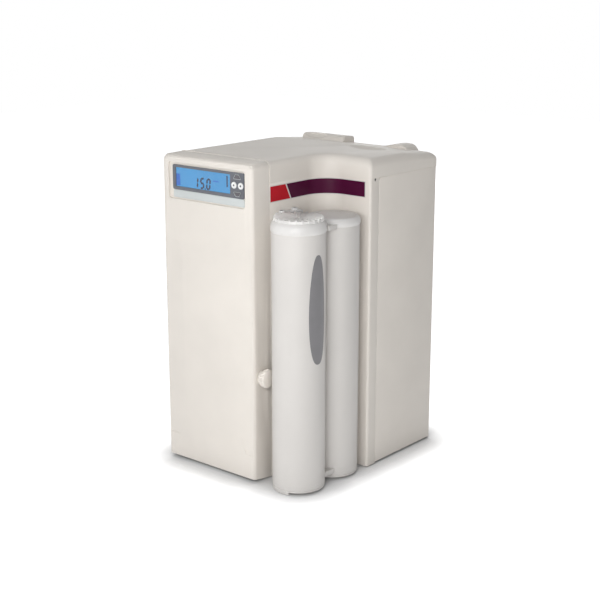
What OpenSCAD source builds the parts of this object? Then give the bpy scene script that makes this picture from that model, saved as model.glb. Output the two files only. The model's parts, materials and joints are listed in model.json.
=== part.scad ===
// Benchtop laboratory water purification system.
// A tall case with a display column stands behind and beside an open bay for a twin cartridge pack.
// The pump, reverse osmosis cylinder, deionisation stack, valve and electronics sit inside.
// x runs left to right, y front to rear, z up from the bench; the origin is under the middle.

/* [Case] */
// Width of the case
body_w = 280; // [270:1:300]
// Depth of the case
body_d = 345; // [330:1:365]
// Height of the lid's flat top above the bench
case_h = 501; // [480:1:525]
// Width of the front column that carries the display
column_w = 188; // [186:1:196]
// Depth of the open bay in front of the right-hand block
bay_d = 167; // [160:1:180]
// Inside corner radius of the bay
bay_r = 40; // [20:1:44]
// Thickness of the moulded walls
wall = 3; // [2:0.1:3.4]
// Radius of the column's front corners
corner_r = 6; // [4:1:12]
// Radius of the right-hand block's front corner
strip_r = 4; // [3:1:9]
// Depth of the strip that wraps round that corner
strip_len = 21; // [14:1:26]
// Radius of the rear corners
rear_r = 5; // [4:1:8]
// Height of the case above the bench
foot_h = 2; // [1.5:0.5:8]
// Diameter of a foot
foot_d = 26; // [18:1:32]

/* [Covers] */
// Depth of the front cover, from its face to the seam
cover_d = 39; // [37:1:44]
// Radius of the front cover's upper edge
cover_r = 8; // [5:1:10]
// Fall of the front cover's top towards its face
cover_fall = 1.6; // [0:0.1:3]
// Rise of the front cover's lower edge towards its face
cover_toe = 5.5; // [0:0.5:8]
// Width of the shallow facet at the right of the front face
facet_w = 30; // [15:1:40]
// Width of the shallow facet at the left of the front face
facet_left_w = 41; // [15:1:50]
// Depth of the facets at the outer edge
facet_t = 1.2; // [0.5:0.1:1.7]
// Height of the lid from its lower edge to its top
lid_h = 32.5; // [30:0.5:40]
// Overhang of the lid past the panels
lid_over = 0.8; // [0.4:0.1:1.2]
// Radius of the lid's upper edge
lid_r = 9; // [6:1:9]
// Fall of the lid towards its rear edge
lid_fall = 8; // [4:1:10]
// Height of the rear grip lips above the sloping rear of the lid
lip_h = 12; // [8:1:14]
// Depth of the finger scoop in the lid
scoop_t = 4; // [2:0.5:4.5]
// Distance that the lid lifts
lid_lift = 140; // [80:5:200]

/* [Display] */
// Height of the display recess
recess_h = 57; // [54:1:60]
// Depth of the display recess
recess_t = 4; // [3:0.1:5]
// Distance from the column's left side to the recess
recess_left = 13.5; // [11:0.5:16]
// Distance from the recess to the column's right side
recess_right = 14; // [11:0.5:18]
// Distance from the lid's top level down to the recess
recess_top = 11; // [9:0.5:14]
// Height of the pale band under the bezel
band_h = 12; // [8:0.5:13]
// Width of the bezel at the left of the screen
window_edge = 6.3; // [4:0.1:10]
// Width of the keypad at the right of the screen
keypad_w = 27.7; // [27:0.1:34]
// Diameter of the round keys
key_d = 9.8; // [8:0.2:10]
// Distance between the two round keys
key_pitch = 13.6; // [12.6:0.1:14]
// Travel of a key
key_travel = 0.8; // [0.4:0.1:1]
// Gap around each key
key_gap = 0.3; // [0.2:0.05:0.4]

/* [Cartridge pack] */
// Diameter of a cartridge tube
tube_d = 81.2; // [72:0.2:86]
// Wall of a cartridge tube
tube_t = 2.2; // [1.6:0.1:3]
// Gap between the two tubes
tube_gap = 0.5; // [0.4:0.1:1.5]
// Height of the pack's underside above the bench
pack_lift = 4; // [2:0.5:12]
// Distance from the lid's top level down to the tops of the caps
cap_drop = 74.5; // [60:0.5:100]
// Overhang of the cap collars past the tubes
collar_over = 1.1; // [0.5:0.1:1.6]
// Height of the cap collars
collar_h = 16.5; // [10:0.5:18]
// Step from the tubes' outside in to the ribbed crown
crown_step = 3.1; // [2.5:0.1:8]
// Height of the front cap's ribbed crown
crown_h = 6; // [5:0.5:10]
// Number of ribs on the crown
crown_ribs = 24; // [12:1:30]
// Height of the rear cap's plain top above its tube
plain_h = 12.5; // [10:0.5:15]
// Gap between the column and the cap collars
pack_gap = 14; // [12.5:0.5:16]
// Gap between the rear collar and the bay's rear wall
rear_gap = 3.3; // [1:0.1:6]
// Height of the oval label on the front tube
label_h = 167; // [100:1:200]
// Width of the oval label on the front tube
label_w = 31.5; // [20:0.5:44]
// Distance from the tubes' upper ends down to the label
label_drop = 30; // [15:1:60]
// Turn of the label towards the front
label_turn = 5; // [-20:1:40]
// Diameter of the pack's port spigots
spigot_d = 10; // [8:0.2:11]
// Gap around a spigot in its socket
spigot_gap = 0.25; // [0.15:0.05:0.4]
// Distance that the pack pulls out to the side
pack_pull = 110; // [60:5:150]

/* [Cleaning port] */
// Height of the cleaning port above the bench
port_z = 171; // [120:1:220]
// Distance of the cleaning port behind the front face
port_y = 20; // [19:0.5:21]
// Diameter of the port's neck
neck_d = 16; // [12:0.5:18]
// Diameter of the cap's collar
cap_d = 23.5; // [22:0.5:25]
// Diameter of the cap's fluted grip
grip_d = 29; // [26:0.5:30]
// Length of the cap from the column's side
cap_len = 14; // [12:0.5:14]
// Number of flutes around the grip
flutes = 18; // [8:1:20]
// Gap between the cap and the neck
cap_gap = 0.3; // [0.2:0.05:0.4]

/* [Rear side] */
// Diameter of the hose stubs
stub_d = 8; // [6:0.5:10]
// Length of the hose stubs outside the rear panel
stub_len = 18; // [14:1:24]
// Distance between the hose stubs
stub_pitch = 26; // [24:1:28]
// Diameter of the wall fixing holes
fix_d = 5.5; // [4.5:0.5:6.5]
// Spacing of the wall fixing holes, side to side
fix_w = 100; // [80:5:120]
// Spacing of the wall fixing holes, up and down
fix_h = 75; // [60:5:100]

/* [Inside] */
// Diameter of the reverse osmosis cylinder
osmosis_d = 66; // [60:1:68]
// Room above the reverse osmosis cylinder for its cap and hoses
osmosis_room = 94.5; // [90:0.5:140]
// Diameter of the pump motor
motor_d = 66; // [58:1:68]
// Length of the pump motor
motor_len = 84; // [70:1:90]
// Diameter of the pump shaft
shaft_d = 8; // [6:0.5:10]
// Running gap at the pump shaft
shaft_gap = 0.05; // [0.03:0.01:0.1]
// Width of the deionisation stack
stack_w = 57; // [50:1:57]
// Height of the deionisation stack
stack_h = 230; // [180:5:240]
// Width of the power supply
supply_w = 46; // [36:1:60]
// Length of the power supply
supply_len = 128; // [100:1:140]
// Height of the power supply
supply_h = 118; // [80:1:150]
// Length of the main board
main_board_w = 116; // [100:1:140]
// Height of the main board
main_board_h = 170; // [155:1:190]
// Width of the inlet valve
valve_w = 34; // [30:1:36]
// Travel of the inlet valve's plunger
valve_travel = 2; // [1:0.5:3]

/* [Hidden] */
$fn = 64;

bite = 0.01;
seat_gap = 0.3;
panel_gap = 0.4;
least_r = 1.5;

foot_bevel = 0.8;
foot_y = cover_d + foot_d / 2 - 4;
floor_z = foot_h + 1;
floor_t = 3;
rim_t = 2.5;
rim_h = 24;
deck_z = floor_z + floor_t;
seam_z = case_h - lid_h;
panel_h = seam_z - foot_h;
ridge_y = body_d - 84;
rim_drop = 6;
scoop_r = 100;
scoop_x = column_w + 17;
scoop_y = ridge_y - 3;
scoop_pad = 32;
tag_z1 = seam_z - 5.3;
tag_h = 23;
tag_t = 0.4;
tag_slant = 11;
tag_gap = 3;
tag_len = 34;
tag_end = 11;
screw_x = [30, 96, column_w + 6, body_w - 24];
screw_z = deck_z + 10;

recess_x0 = recess_left;
recess_x1 = column_w - recess_right;
recess_z1 = case_h - recess_top;
recess_z0 = recess_z1 - recess_h;
bezel_x0 = recess_x0 + 8.9;
bezel_x1 = recess_x1 - 3;
bezel_z0 = recess_z0 + band_h + 2.6;
bezel_z1 = recess_z1 - 3.8;
bezel_y = 1.2;
window_x0 = bezel_x0 + window_edge;
window_x1 = bezel_x1 - keypad_w;
window_z0 = bezel_z0 + 5;
window_z1 = bezel_z1 - 4;
key_inset = 6;
key_x = bezel_x1 - key_inset - key_pitch / 2;
key_z = (bezel_z0 + bezel_z1) / 2;
key_rise = (bezel_z1 - bezel_z0) / 2 - 6.3;
flange_y = recess_t + 0.2;
flange_t = 1;
key_end = recess_t + 3;
switch_y = key_end + key_travel + 0.15;
board_y = switch_y + 1.2;

tube_r = tube_d / 2;
tube_in = tube_r - tube_t;
collar_r = tube_r + collar_over;
crown_r = tube_r - crown_step;
tube_top = case_h - cap_drop - collar_h - crown_h;
pack_pitch = tube_d + tube_gap;
pack_x = column_w + pack_gap + collar_r;
pack_y2 = bay_d - rear_gap - collar_r;
pack_y1 = pack_y2 - pack_pitch;
pack_mid = (pack_y1 + pack_y2) / 2;
base_h = 9;
base_top = pack_lift + base_h;
base_lip = 3.2;
groove_z = 3.4;
groove_t = 0.7;
link_h = 8;
link_w = 20;
rib_t = 2.2;
clip_low = 60;
clip_high = 70;
clip_h = 18;
bracket_over = 18;
mount_in = 14;
head_r = 30;
head_round = 8;
valve_front = 15;
valve_h = 24;
rib_rise = 2;
link_lift = 9;
block_x = column_w + pack_gap + 0.5;
block_w = 28;
block_z = tube_top - 17;
block_h = 15;
spigot_r = spigot_d / 2;
spigot_z = block_z + block_h / 2;
spigot_off = 7;
socket_r = spigot_r + spigot_gap;
socket_end = column_w + 2.6;
manifold_x1 = column_w + pack_gap - 1.5;
manifold_z0 = block_z - 6;
manifold_z1 = tube_top + collar_h + crown_h - 1;
plug_y1 = pack_mid - 20;
plug_y2 = pack_mid + 10;
peg_z = pack_lift + 30;
peg_r = 4;

right_x = max(body_w, pack_x + collar_r);
front_y = min(0, pack_y1 - collar_r);
rear_y = body_d + stub_len;

neck_r = neck_d / 2;
cap_r = cap_d / 2;
grip_r = grip_d / 2;

rear_in = body_d - wall;
stack_side = 14;
stack_x = body_w - wall - stack_side - stack_w;
valve_x = min(column_w + 4, stack_x - stack_side);
fit_x = valve_x - 50;
fit_z = deck_z + 60;
inlet_x = body_w - 62;
inlet_z = deck_z + 40;
fix_x = column_w - 58;
fix_z = deck_z + 268;

osmosis_r = osmosis_d / 2;
foot_lip = 5;
osmosis_x = wall + seat_gap + rim_t + foot_lip + 0.5 + osmosis_r;
osmosis_y = rear_in - 14 - osmosis_r;
osmosis_z = deck_z + 34;
osmosis_top = seam_z - osmosis_room;
osmosis_h = osmosis_top - osmosis_z;

motor_r = motor_d / 2;
motor_x = valve_x - 54;
motor_z = deck_z + 62;
pump_port_y = pack_mid + spigot_off;
head_y0 = pump_port_y - 13;
motor_y0 = head_y0 + 46;
motor_y1 = motor_y0 + motor_len;
shaft_r = shaft_d / 2;
bearing_r = shaft_r + 7;
bearing_t = 7;
bell_t = 9;

valve_y = rear_in - 22;
valve_z = deck_z + 300;
stack_y = bay_d + wall + 8;
plate_t = 13;
stack_t = rear_in - 46 - stack_y - 2 * plate_t;
stack_z = deck_z + 44;
supply_x = wall + seat_gap;
supply_z = deck_z;
board_x = wall + 9;
board_y0 = cover_d + 26;
board_z0 = deck_z + 190;
hose_r = 4;
hose_bend = 9;

// Place a piece drawn from the front left corner of the case in the shared frame
module place() {
    translate([-right_x / 2, -(front_y + rear_y) / 2, 0]) children();
}

// Extrude an outline drawn in y and z along x
module along_x(x0, len) {
    translate([x0, 0, 0]) rotate([90, 0, 90]) linear_extrude(len) children();
}

// Extrude an outline drawn in x and z along y
module along_y(y0, len) {
    translate([0, y0 + len, 0]) rotate([90, 0, 0]) linear_extrude(len) children();
}

// Round bar along x
module bar_x(x0, len, r) {
    translate([x0, 0, 0]) rotate([0, 90, 0]) cylinder(h = len, r = r);
}

// Round bar along y
module bar_y(y0, len, r) {
    translate([0, y0, 0]) rotate([-90, 0, 0]) cylinder(h = len, r = r);
}

// The corner that a rounding of radius r takes away, with its tip at the origin
module corner_trim(r) {
    difference() {
        translate([-1, -1]) square(r + 1);
        translate([r, r]) circle(r);
    }
}

// Rectangle with rounded corners
module soft_rect(x0, y0, x1, y1, r) {
    difference() {
        translate([x0, y0]) square([x1 - x0, y1 - y0]);
        translate([x0, y0]) corner_trim(r);
        translate([x1, y0]) mirror([1, 0]) corner_trim(r);
        translate([x0, y1]) mirror([0, 1]) corner_trim(r);
        translate([x1, y1]) rotate(180) corner_trim(r);
    }
}

// Plan of the case with its open bay, drawn in by the given distance
module footprint(inset) {
    r_front = max(corner_r - inset, least_r);
    r_strip = max(strip_r - inset, least_r);
    r_rear = max(rear_r - inset, least_r);
    r_bay = bay_r + inset;
    difference() {
        translate([inset, inset]) square([body_w - 2 * inset, body_d - 2 * inset]);
        difference() {
            translate([column_w - inset, -1]) square([body_w, bay_d + inset + 1]);
            translate([column_w - inset, bay_d + inset]) mirror([0, 1]) corner_trim(r_bay);
        }
        translate([inset, inset]) corner_trim(r_front);
        translate([column_w - inset, inset]) mirror([1, 0]) corner_trim(r_front);
        translate([body_w - inset, bay_d + inset]) mirror([1, 0]) corner_trim(r_strip);
        translate([inset, body_d - inset]) mirror([0, 1]) corner_trim(r_rear);
        translate([body_w - inset, body_d - inset]) rotate(180) corner_trim(r_rear);
    }
}

// Plan of the case walls
module wall_plan() {
    difference() {
        footprint(0);
        footprint(wall);
    }
}

// Tray that carries the parts inside and closes the case below
module base_tray() {
    color("silver") place() {
        difference() {
            union() {
                translate([0, 0, floor_z]) linear_extrude(floor_t) footprint(wall + seat_gap);
                translate([0, 0, floor_z]) linear_extrude(rim_h) difference() {
                    footprint(wall + seat_gap);
                    footprint(wall + seat_gap + rim_t);
                }
            }
            for (x = screw_x)
                translate([x, 0, screw_z]) bar_y(rear_in - 6, 10, 2.1);
            along_x(0, column_w) polygon([[0, 0], [cover_d, 0], [cover_d, foot_h + 0.4],
                [0, foot_h + cover_toe + 0.4]]);
        }
    }
}

// Five feet under the tray
module rubber_feet() {
    color("dimgray") place() {
        for (p = [[30, foot_y], [column_w - 32, foot_y], [30, body_d - 32], [body_w - 30, body_d - 32],
                [body_w - 30, bay_d + 28]])
            translate([p[0], p[1], 0]) {
                cylinder(h = foot_bevel, r1 = foot_d / 2 - foot_bevel, r2 = foot_d / 2);
                translate([0, 0, foot_bevel]) cylinder(h = floor_z - foot_bevel, r = foot_d / 2);
            }
    }
}

// Side outline of the front cover, drawn in by the given distance
module cover_side(inset) {
    r = max(cover_r - inset, 0.5);
    top = case_h + 0.6 - inset;
    front_top = top - cover_fall;
    difference() {
        polygon([[inset, -1], [cover_d + inset, -1], [cover_d + inset, top], [inset, front_top]]);
        translate([inset, front_top]) mirror([0, 1]) corner_trim(r);
    }
}

// Front outline of the front cover, drawn in by the given distance
module cover_front(inset) {
    r = max(lid_r - inset, 0.5);
    top = case_h + 0.6 - inset;
    difference() {
        translate([inset, -1]) square([column_w - 2 * inset, top + 1]);
        translate([inset, top]) mirror([0, 1]) corner_trim(r);
        translate([column_w - inset, top]) rotate(180) corner_trim(r);
    }
}

// Shallow facet beside the front face, drawn for the right-hand side
module facet(width) {
    ridge = column_w - width;
    z0 = foot_h + 44;
    z1 = recess_z0 - 65;
    intersection() {
        translate([0, 0, z0]) linear_extrude(z1 - z0)
            polygon([[ridge, 0], [column_w + 1, facet_t], [column_w + 1, -1], [ridge, -1]]);
        along_y(-2, 8) polygon([[ridge + 13, z0], [ridge + 1, z0 + 27], [ridge, z1 - 20],
            [ridge + 11, z1], [column_w + 2, z1], [column_w + 2, z0]]);
    }
}

// Front cover with the display recess and the side hole for the cleaning port
module front_cover() {
    back = recess_t + 3;
    color("ivory") place() {
        difference() {
            union() {
                difference() {
                    intersection() {
                        translate([0, 0, foot_h]) linear_extrude(case_h) intersection() {
                            footprint(0);
                            square([column_w, cover_d]);
                        }
                        along_x(-1, column_w + 2) cover_side(0);
                        along_y(-1, cover_d + 2) cover_front(0);
                    }
                    intersection() {
                        translate([0, 0, foot_h - 1]) linear_extrude(case_h + 2) intersection() {
                            footprint(wall);
                            square([column_w, cover_d + 1]);
                        }
                        along_x(-1, column_w + 2) cover_side(wall);
                        along_y(-1, cover_d + 3) cover_front(wall);
                    }
                }
                along_y(wall - 1, back - wall + 1)
                    soft_rect(recess_x0 - 3, recess_z0 - 3, recess_x1 + 3, recess_z1 + 3, 4);
                for (x = [recess_x0 + 2, recess_x1 - 2])
                    for (z = [recess_z0 + 6, recess_z1 - 4])
                        translate([x, 0, z]) bar_y(back - bite, board_y - back + bite, 3);
            }
            along_y(-1, recess_t + 1) soft_rect(recess_x0, recess_z0, recess_x1, recess_z1, 5);
            along_y(recess_t - 1, 10)
                soft_rect(window_x0 - 3.4, bezel_z0 + 1.6, bezel_x1 - 0.3, bezel_z1 - 1.6, 2);
            facet(facet_w);
            translate([column_w, 0, 0]) mirror([1, 0, 0]) facet(facet_left_w);
            along_x(-1, column_w + 2) polygon([[-1, -1], [cover_d, -1], [cover_d, foot_h],
                [0, foot_h + cover_toe], [-1, foot_h + cover_toe]]);
            translate([0, port_y, port_z]) bar_x(column_w - wall - 2, wall + 4, neck_r + seat_gap);
        }
    }
}

// Left-hand side panel with the posts that carry the main board
module left_panel() {
    color("ivory") place() {
        translate([0, 0, foot_h]) linear_extrude(panel_h) intersection() {
            wall_plan();
            translate([0, cover_d + panel_gap])
                square([wall, body_d - wall - cover_d - panel_gap - 0.2]);
        }
        for (y = [board_y0 + 6, board_y0 + main_board_w - 6])
            for (z = [board_z0 + 6, board_z0 + main_board_h - 6])
                translate([0, y, z]) bar_x(wall - bite, board_x - wall + bite, 3.5);
    }
}

// Curved wall around the open bay, with the narrow front strip of the right-hand block
module bay_wall() {
    color("ivory") place() difference() {
        translate([0, 0, foot_h]) linear_extrude(panel_h) intersection() {
            wall_plan();
            union() {
                translate([column_w - wall, cover_d + panel_gap])
                    square([body_w, bay_d + wall - cover_d - panel_gap]);
                translate([body_w - wall - strip_r, bay_d])
                    square([wall + strip_r + 1, strip_len]);
            }
        }
        for (s = [-1, 1])
            translate([0, pack_mid + s * spigot_off, spigot_z]) bar_x(column_w - wall - 1, wall + 2, 3.4);
    }
}

// Right-hand side panel with a clipped upper front corner
module right_panel() {
    y0 = bay_d + strip_len + 0.6;
    color("ivory") place() translate([0, 0, foot_h + 2]) difference() {
        linear_extrude(panel_h - 2) intersection() {
            wall_plan();
            translate([body_w - wall, y0]) square([wall, body_d - wall - y0 - 0.2]);
        }
        along_x(body_w - wall - 1, wall + 2)
            polygon([[y0 - 1, panel_h - 6], [y0 + 4, panel_h - 1], [y0 + 4, panel_h + 1],
                [y0 - 1, panel_h + 1]]);
    }
}

// Rear panel with openings for the fittings, the power inlet, the wall fixings and the vents
module rear_panel() {
    color("ivory") place() difference() {
        translate([0, 0, foot_h]) linear_extrude(panel_h) intersection() {
            footprint(0);
            translate([0, rear_in]) square([body_w, wall + 1]);
        }
        for (i = [-1, 0, 1])
            translate([fit_x + i * stub_pitch, 0, fit_z]) bar_y(rear_in - 1, wall + 2, stub_d / 2 + 2.3);
        along_y(rear_in - 1, wall + 2)
            soft_rect(inlet_x - 14, inlet_z - 10.5, inlet_x + 14, inlet_z + 10.5, 3);
        for (s = [-1, 1], t = [-1, 1])
            translate([fix_x + s * fix_w / 2, 0, fix_z + t * fix_h / 2])
                bar_y(rear_in - 1, wall + 2, fix_d / 2);
        for (x = screw_x)
            translate([x, 0, screw_z]) bar_y(rear_in - 1, wall + 2, 2.1);
        for (i = [0:6])
            along_y(rear_in - 1, wall + 2) soft_rect(body_w - 84, seam_z - 92 + i * 9,
                body_w - 34, seam_z - 88 + i * 9, 1.9);
    }
}

// Screws that hold the rear panel to the tray
module case_screws() {
    color("gray") place()
        for (x = screw_x)
            translate([x, 0, screw_z]) difference() {
                union() {
                    bar_y(rear_in - 5, wall + 5 + bite, 1.9);
                    bar_y(body_d, 2.2, 3.6);
                }
                along_y(body_d + 1, 2) square([4.4, 0.9], center = true);
                along_y(body_d + 1, 2) square([0.9, 4.4], center = true);
            }
}

// Raised grip lips at the rear of the lid, with their scooped fronts
module lid_lips() {
    y0 = body_d - 56;
    top = case_h - lid_fall + lip_h;
    intersection() {
        translate([0, 0, seam_z + 12]) linear_extrude(60) footprint(2);
        union() {
            along_x(22, 91) polygon([[y0 + 20, seam_z + 12], [y0 + 25, top - 4], [y0 + 30, top],
                [body_d, top - 1.5], [body_d, seam_z + 12]]);
            along_y(y0 + 22, 40) polygon([[column_w - 14, seam_z + 12], [column_w - 12, top - 11.5],
                [column_w + 8, top - 8.5], [column_w + 20, top - 5], [column_w + 30, top - 3.4],
                [column_w + 40, top - 3.2], [column_w + 49, top - 4.8], [column_w + 57, top - 11.5],
                [column_w + 60, seam_z + 12]]);
        }
    }
}

// Lid that follows the plan of the case, with a skirt, a locating rim and rear grip lips
module lid() {
    skirt = 3;
    y0 = cover_d + panel_gap;
    color("ivory") place() difference() {
        union() {
            difference() {
                intersection() {
                    minkowski() {
                        translate([0, 0, seam_z + 0.2]) linear_extrude(lid_h - lid_r - 0.2, $fn = 40)
                            footprint(lid_r - lid_over);
                        rotate_extrude($fn = 32) intersection() {
                            circle(lid_r, $fn = 32);
                            square(lid_r);
                        }
                    }
                    along_x(-5, body_w + 10) polygon([[y0, 0], [y0, case_h + 2], [ridge_y, case_h],
                        [body_d + 2, case_h - lid_fall], [body_d + 2, 0]]);
                }
                translate([0, 0, seam_z - 1]) linear_extrude(lid_h - lid_fall - 3) difference() {
                    footprint(skirt - lid_over, $fn = 40);
                    translate([-1, -1]) square([body_w + 2, y0 + 1]);
                }
                translate([0, 0, seam_z - 1]) linear_extrude(lid_h - 2.5) intersection() {
                    footprint(skirt - lid_over + lid_r, $fn = 40);
                    difference() {
                        translate([0, y0 + 4]) square([body_w, ridge_y - 12 - y0]);
                        translate([scoop_x - scoop_pad, scoop_y - scoop_pad]) square(2 * scoop_pad);
                    }
                }
            }
            lid_lips();
            translate([0, 0, seam_z - rim_drop]) linear_extrude(lid_h - lid_fall - 1) difference() {
                footprint(wall + panel_gap, $fn = 40);
                footprint(wall + panel_gap + 2, $fn = 40);
                translate([-1, -1]) square([body_w + 2, y0 + 1]);
            }
        }
        translate([scoop_x, scoop_y, case_h + scoop_r - scoop_t]) sphere(scoop_r, $fn = 96);
    }
}

// Thin strip on the bay wall at the height of the name band
module tag_strip() {
    translate([0, 0, tag_z1 - tag_h]) linear_extrude(tag_h) difference() {
        footprint(-tag_t);
        footprint(0);
    }
}

// Red tag with a slanted end
module tag_red() {
    y0 = cover_d + 2;
    color("firebrick") place() intersection() {
        tag_strip();
        along_x(column_w - 1, 6) polygon([[y0, tag_z1 - tag_h], [y0 + tag_len + tag_slant, tag_z1 - tag_h],
            [y0 + tag_len, tag_z1], [y0, tag_z1]]);
    }
}

// Dark purple band that runs on around the curve
module tag_purple() {
    y0 = cover_d + 2 + tag_len + tag_gap;
    y1 = bay_d - bay_r + 6;
    color("indigo") place() intersection() {
        tag_strip();
        union() {
            along_x(column_w - 1, 6) polygon([[y0 + tag_slant, tag_z1 - tag_h], [y1, tag_z1 - tag_h],
                [y1, tag_z1], [y0, tag_z1]]);
            translate([column_w - 1, bay_d - bay_r, 0])
                cube([body_w - tag_end - column_w + 1, bay_r + 3, case_h]);
        }
    }
}

// Outline of an upper or lower key, point up
module wedge_key(grow) {
    polygon([[-7 - grow, -3.5 - grow], [7 + grow, -3.5 - grow], [7 + grow, -1.6], [3.6 + grow / 2, 3.5 + grow],
        [-3.6 - grow / 2, 3.5 + grow], [-7 - grow, -1.6]]);
}

// Dark bezel with the screen opening and the key openings
module display_bezel() {
    color("dimgray") place() difference() {
        along_y(bezel_y, recess_t - bezel_y) soft_rect(bezel_x0, bezel_z0, bezel_x1, bezel_z1, 3);
        along_y(0, recess_t + 1)
            soft_rect(window_x0, window_z0, window_x1, window_z1, 1);
        for (s = [-1, 1])
            translate([key_x + s * key_pitch / 2, 0, key_z]) bar_y(0, recess_t + 1, key_d / 2 + key_gap);
        along_y(0, recess_t + 1) translate([key_x, key_z + key_rise]) wedge_key(key_gap);
        along_y(0, recess_t + 1) translate([key_x, key_z - key_rise]) rotate(180) wedge_key(key_gap);
    }
}

// Pale band under the bezel
module display_band() {
    color("gainsboro") place() along_y(recess_t - 1.6, 1.6)
        soft_rect(bezel_x0, bezel_z0 - 0.5 - band_h, bezel_x1, bezel_z0 - 0.5, 2);
}

// Clear window over the screen
module display_window() {
    color("lightblue", 0.5) place() along_y(bezel_y + 0.2, 0.8) soft_rect(window_x0 + 0.2, window_z0 + 0.2,
        window_x1 - 0.2, window_z1 - 0.2, 0.9);
}

// Screen with its back housing
module screen() {
    color("steelblue") place() {
        along_y(bezel_y + 1.2, recess_t - bezel_y - 1) soft_rect(window_x0 + 0.3, window_z0 + 0.3,
            window_x1 - 0.3, window_z1 - 0.3, 0.9);
        along_y(recess_t + 0.1, board_y - recess_t - 0.1) soft_rect(window_x0 - 3, bezel_z0 + 2,
            window_x1 + 1.5, bezel_z1 - 2, 2);
    }
}

// Circuit board behind the screen and the keys
module key_board() {
    color("darkgreen") place() along_y(board_y, 1.6)
        soft_rect(recess_x0 - 1.6, recess_z0 + 2, recess_x1 + 1.6, recess_z1, 2);
}

// Push switches behind the four keys
module key_switches() {
    color("silver") place() {
        for (s = [-1, 1]) {
            translate([key_x + s * key_pitch / 2, 0, key_z]) bar_y(switch_y, board_y - switch_y, 2.6);
            translate([key_x, 0, key_z + s * key_rise]) bar_y(switch_y, board_y - switch_y, 2.6);
        }
    }
}

// Round key with a flange behind the bezel and a stem to its switch
module round_key(x) {
    translate([x, 0, key_z]) {
        bar_y(bezel_y - 0.8, flange_y - bezel_y + 0.8 + bite, key_d / 2);
        bar_y(flange_y, flange_t, key_d / 2 + 0.5);
        bar_y(flange_y + flange_t - bite, key_end - flange_y - flange_t + bite, 2);
    }
}

// Dark shaped key with a flange behind the bezel and a stem to its switch
module shaped_key(side) {
    translate([key_x, 0, key_z + side * key_rise]) rotate([0, side > 0 ? 0 : 180, 0]) {
        along_y(bezel_y - 0.5, flange_y - bezel_y + 0.5 + bite) wedge_key(0);
        along_y(flange_y, flange_t) wedge_key(0.9);
        bar_y(flange_y + flange_t - bite, key_end - flange_y - flange_t + bite, 2);
    }
}

// Left key
module key_left() {
    color("white") place() round_key(key_x - key_pitch / 2);
}

// Right key
module key_right() {
    color("white") place() round_key(key_x + key_pitch / 2);
}

// Upper key
module key_up() {
    color("dimgray") place() shaped_key(1);
}

// Lower key
module key_down() {
    color("dimgray") place() shaped_key(-1);
}

// Cartridge tube
module pack_tube(y) {
    translate([pack_x, y, base_top]) difference() {
        cylinder(h = tube_top - base_top, r = tube_r);
        translate([0, 0, -1]) cylinder(h = tube_top - base_top + 2, r = tube_in);
    }
}

// Tube of the front cartridge
module front_tube() {
    color("white") place() pack_tube(pack_y1);
}

// Tube of the rear cartridge
module rear_tube() {
    color("white") place() pack_tube(pack_y2);
}

// Outline of a cap's collar, h high
function collar_shape(h) = [[0, 0], [collar_r - 1, 0], [collar_r, 1.2], [collar_r, h * 0.45],
    [collar_r - 0.6, h * 0.65], [collar_r - 1.7, h * 0.82], [collar_r - 3.2, h * 0.95],
    [collar_r - 4, h], [0, h]];

// Cap with a plug and a collar, h high, that is cut flat beside the other cap
module pack_cap(y, side, h) {
    translate([pack_x, y, 0]) {
        difference() {
            translate([0, 0, tube_top - 14]) cylinder(h = 15, r = tube_in - seat_gap);
            translate([0, 0, tube_top - 15]) cylinder(h = 12, r = tube_in - 4);
        }
        intersection() {
            translate([0, 0, tube_top]) rotate_extrude() polygon(collar_shape(h));
            translate([-50, side > 0 ? -60 : -pack_pitch / 2 + 0.15, tube_top - 1])
                cube([100, 60 + pack_pitch / 2 - 0.15, h + 2]);
        }
    }
}

// Ribbed crown on a cap
module crown(y) {
    hub_r = crown_ribs * rib_t / 6 + 1;
    top = crown_h + 1;
    translate([pack_x, y, tube_top + collar_h - 1]) {
        cylinder(h = top - rib_rise, r = crown_r - 1);
        cylinder(h = top, r = hub_r + 1);
        for (i = [0:crown_ribs - 1])
            rotate(i * 360 / crown_ribs + 4) translate([hub_r, -rib_t / 2, 0])
                cube([crown_r - hub_r, rib_t, top]);
    }
}

// Cap of the front cartridge with its crown
module front_cap() {
    color("aliceblue") place() {
        pack_cap(pack_y1, 1, collar_h);
        crown(pack_y1);
    }
}

// Cap of the rear cartridge
module rear_cap() {
    color("aliceblue") place() pack_cap(pack_y2, -1, plain_h);
}

// Closed base of a cartridge, with a plug in the tube
module pack_base(y) {
    translate([pack_x, y, pack_lift]) {
        rotate_extrude() polygon([[0, 0], [tube_r - 1.6, 0], [tube_r, 1.6], [tube_r, groove_z],
            [tube_r - groove_t, groove_z + 0.2], [tube_r - groove_t, groove_z + 0.8], [tube_r, groove_z + 1],
            [tube_r, base_h], [0, base_h]]);
        translate([0, 0, base_h - bite]) cylinder(h = 12, r = tube_in - seat_gap);
    }
}

// Base of the front cartridge with a lower rim on its left
module front_base() {
    color("white") place() {
        pack_base(pack_y1);
        translate([pack_x, pack_y1, pack_lift - base_lip]) rotate(216) rotate_extrude(angle = 72)
            translate([tube_r - 7, 0]) square([6.6, base_lip + 1.8]);
    }
}

// Base of the rear cartridge
module rear_base() {
    color("white") place() pack_base(pack_y2);
}

// Gusset between two rounds of radius r on one side, x0 to x1 from the tube axes
module gusset(x0, x1, h, r = tube_r, w = block_w) {
    linear_extrude(h) difference() {
        translate([pack_x + x0, pack_mid - w / 2]) square([x1 - x0, w]);
        translate([pack_x, pack_y1]) circle(r + 0.25);
        translate([pack_x, pack_y2]) circle(r + 0.25);
    }
}

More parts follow.
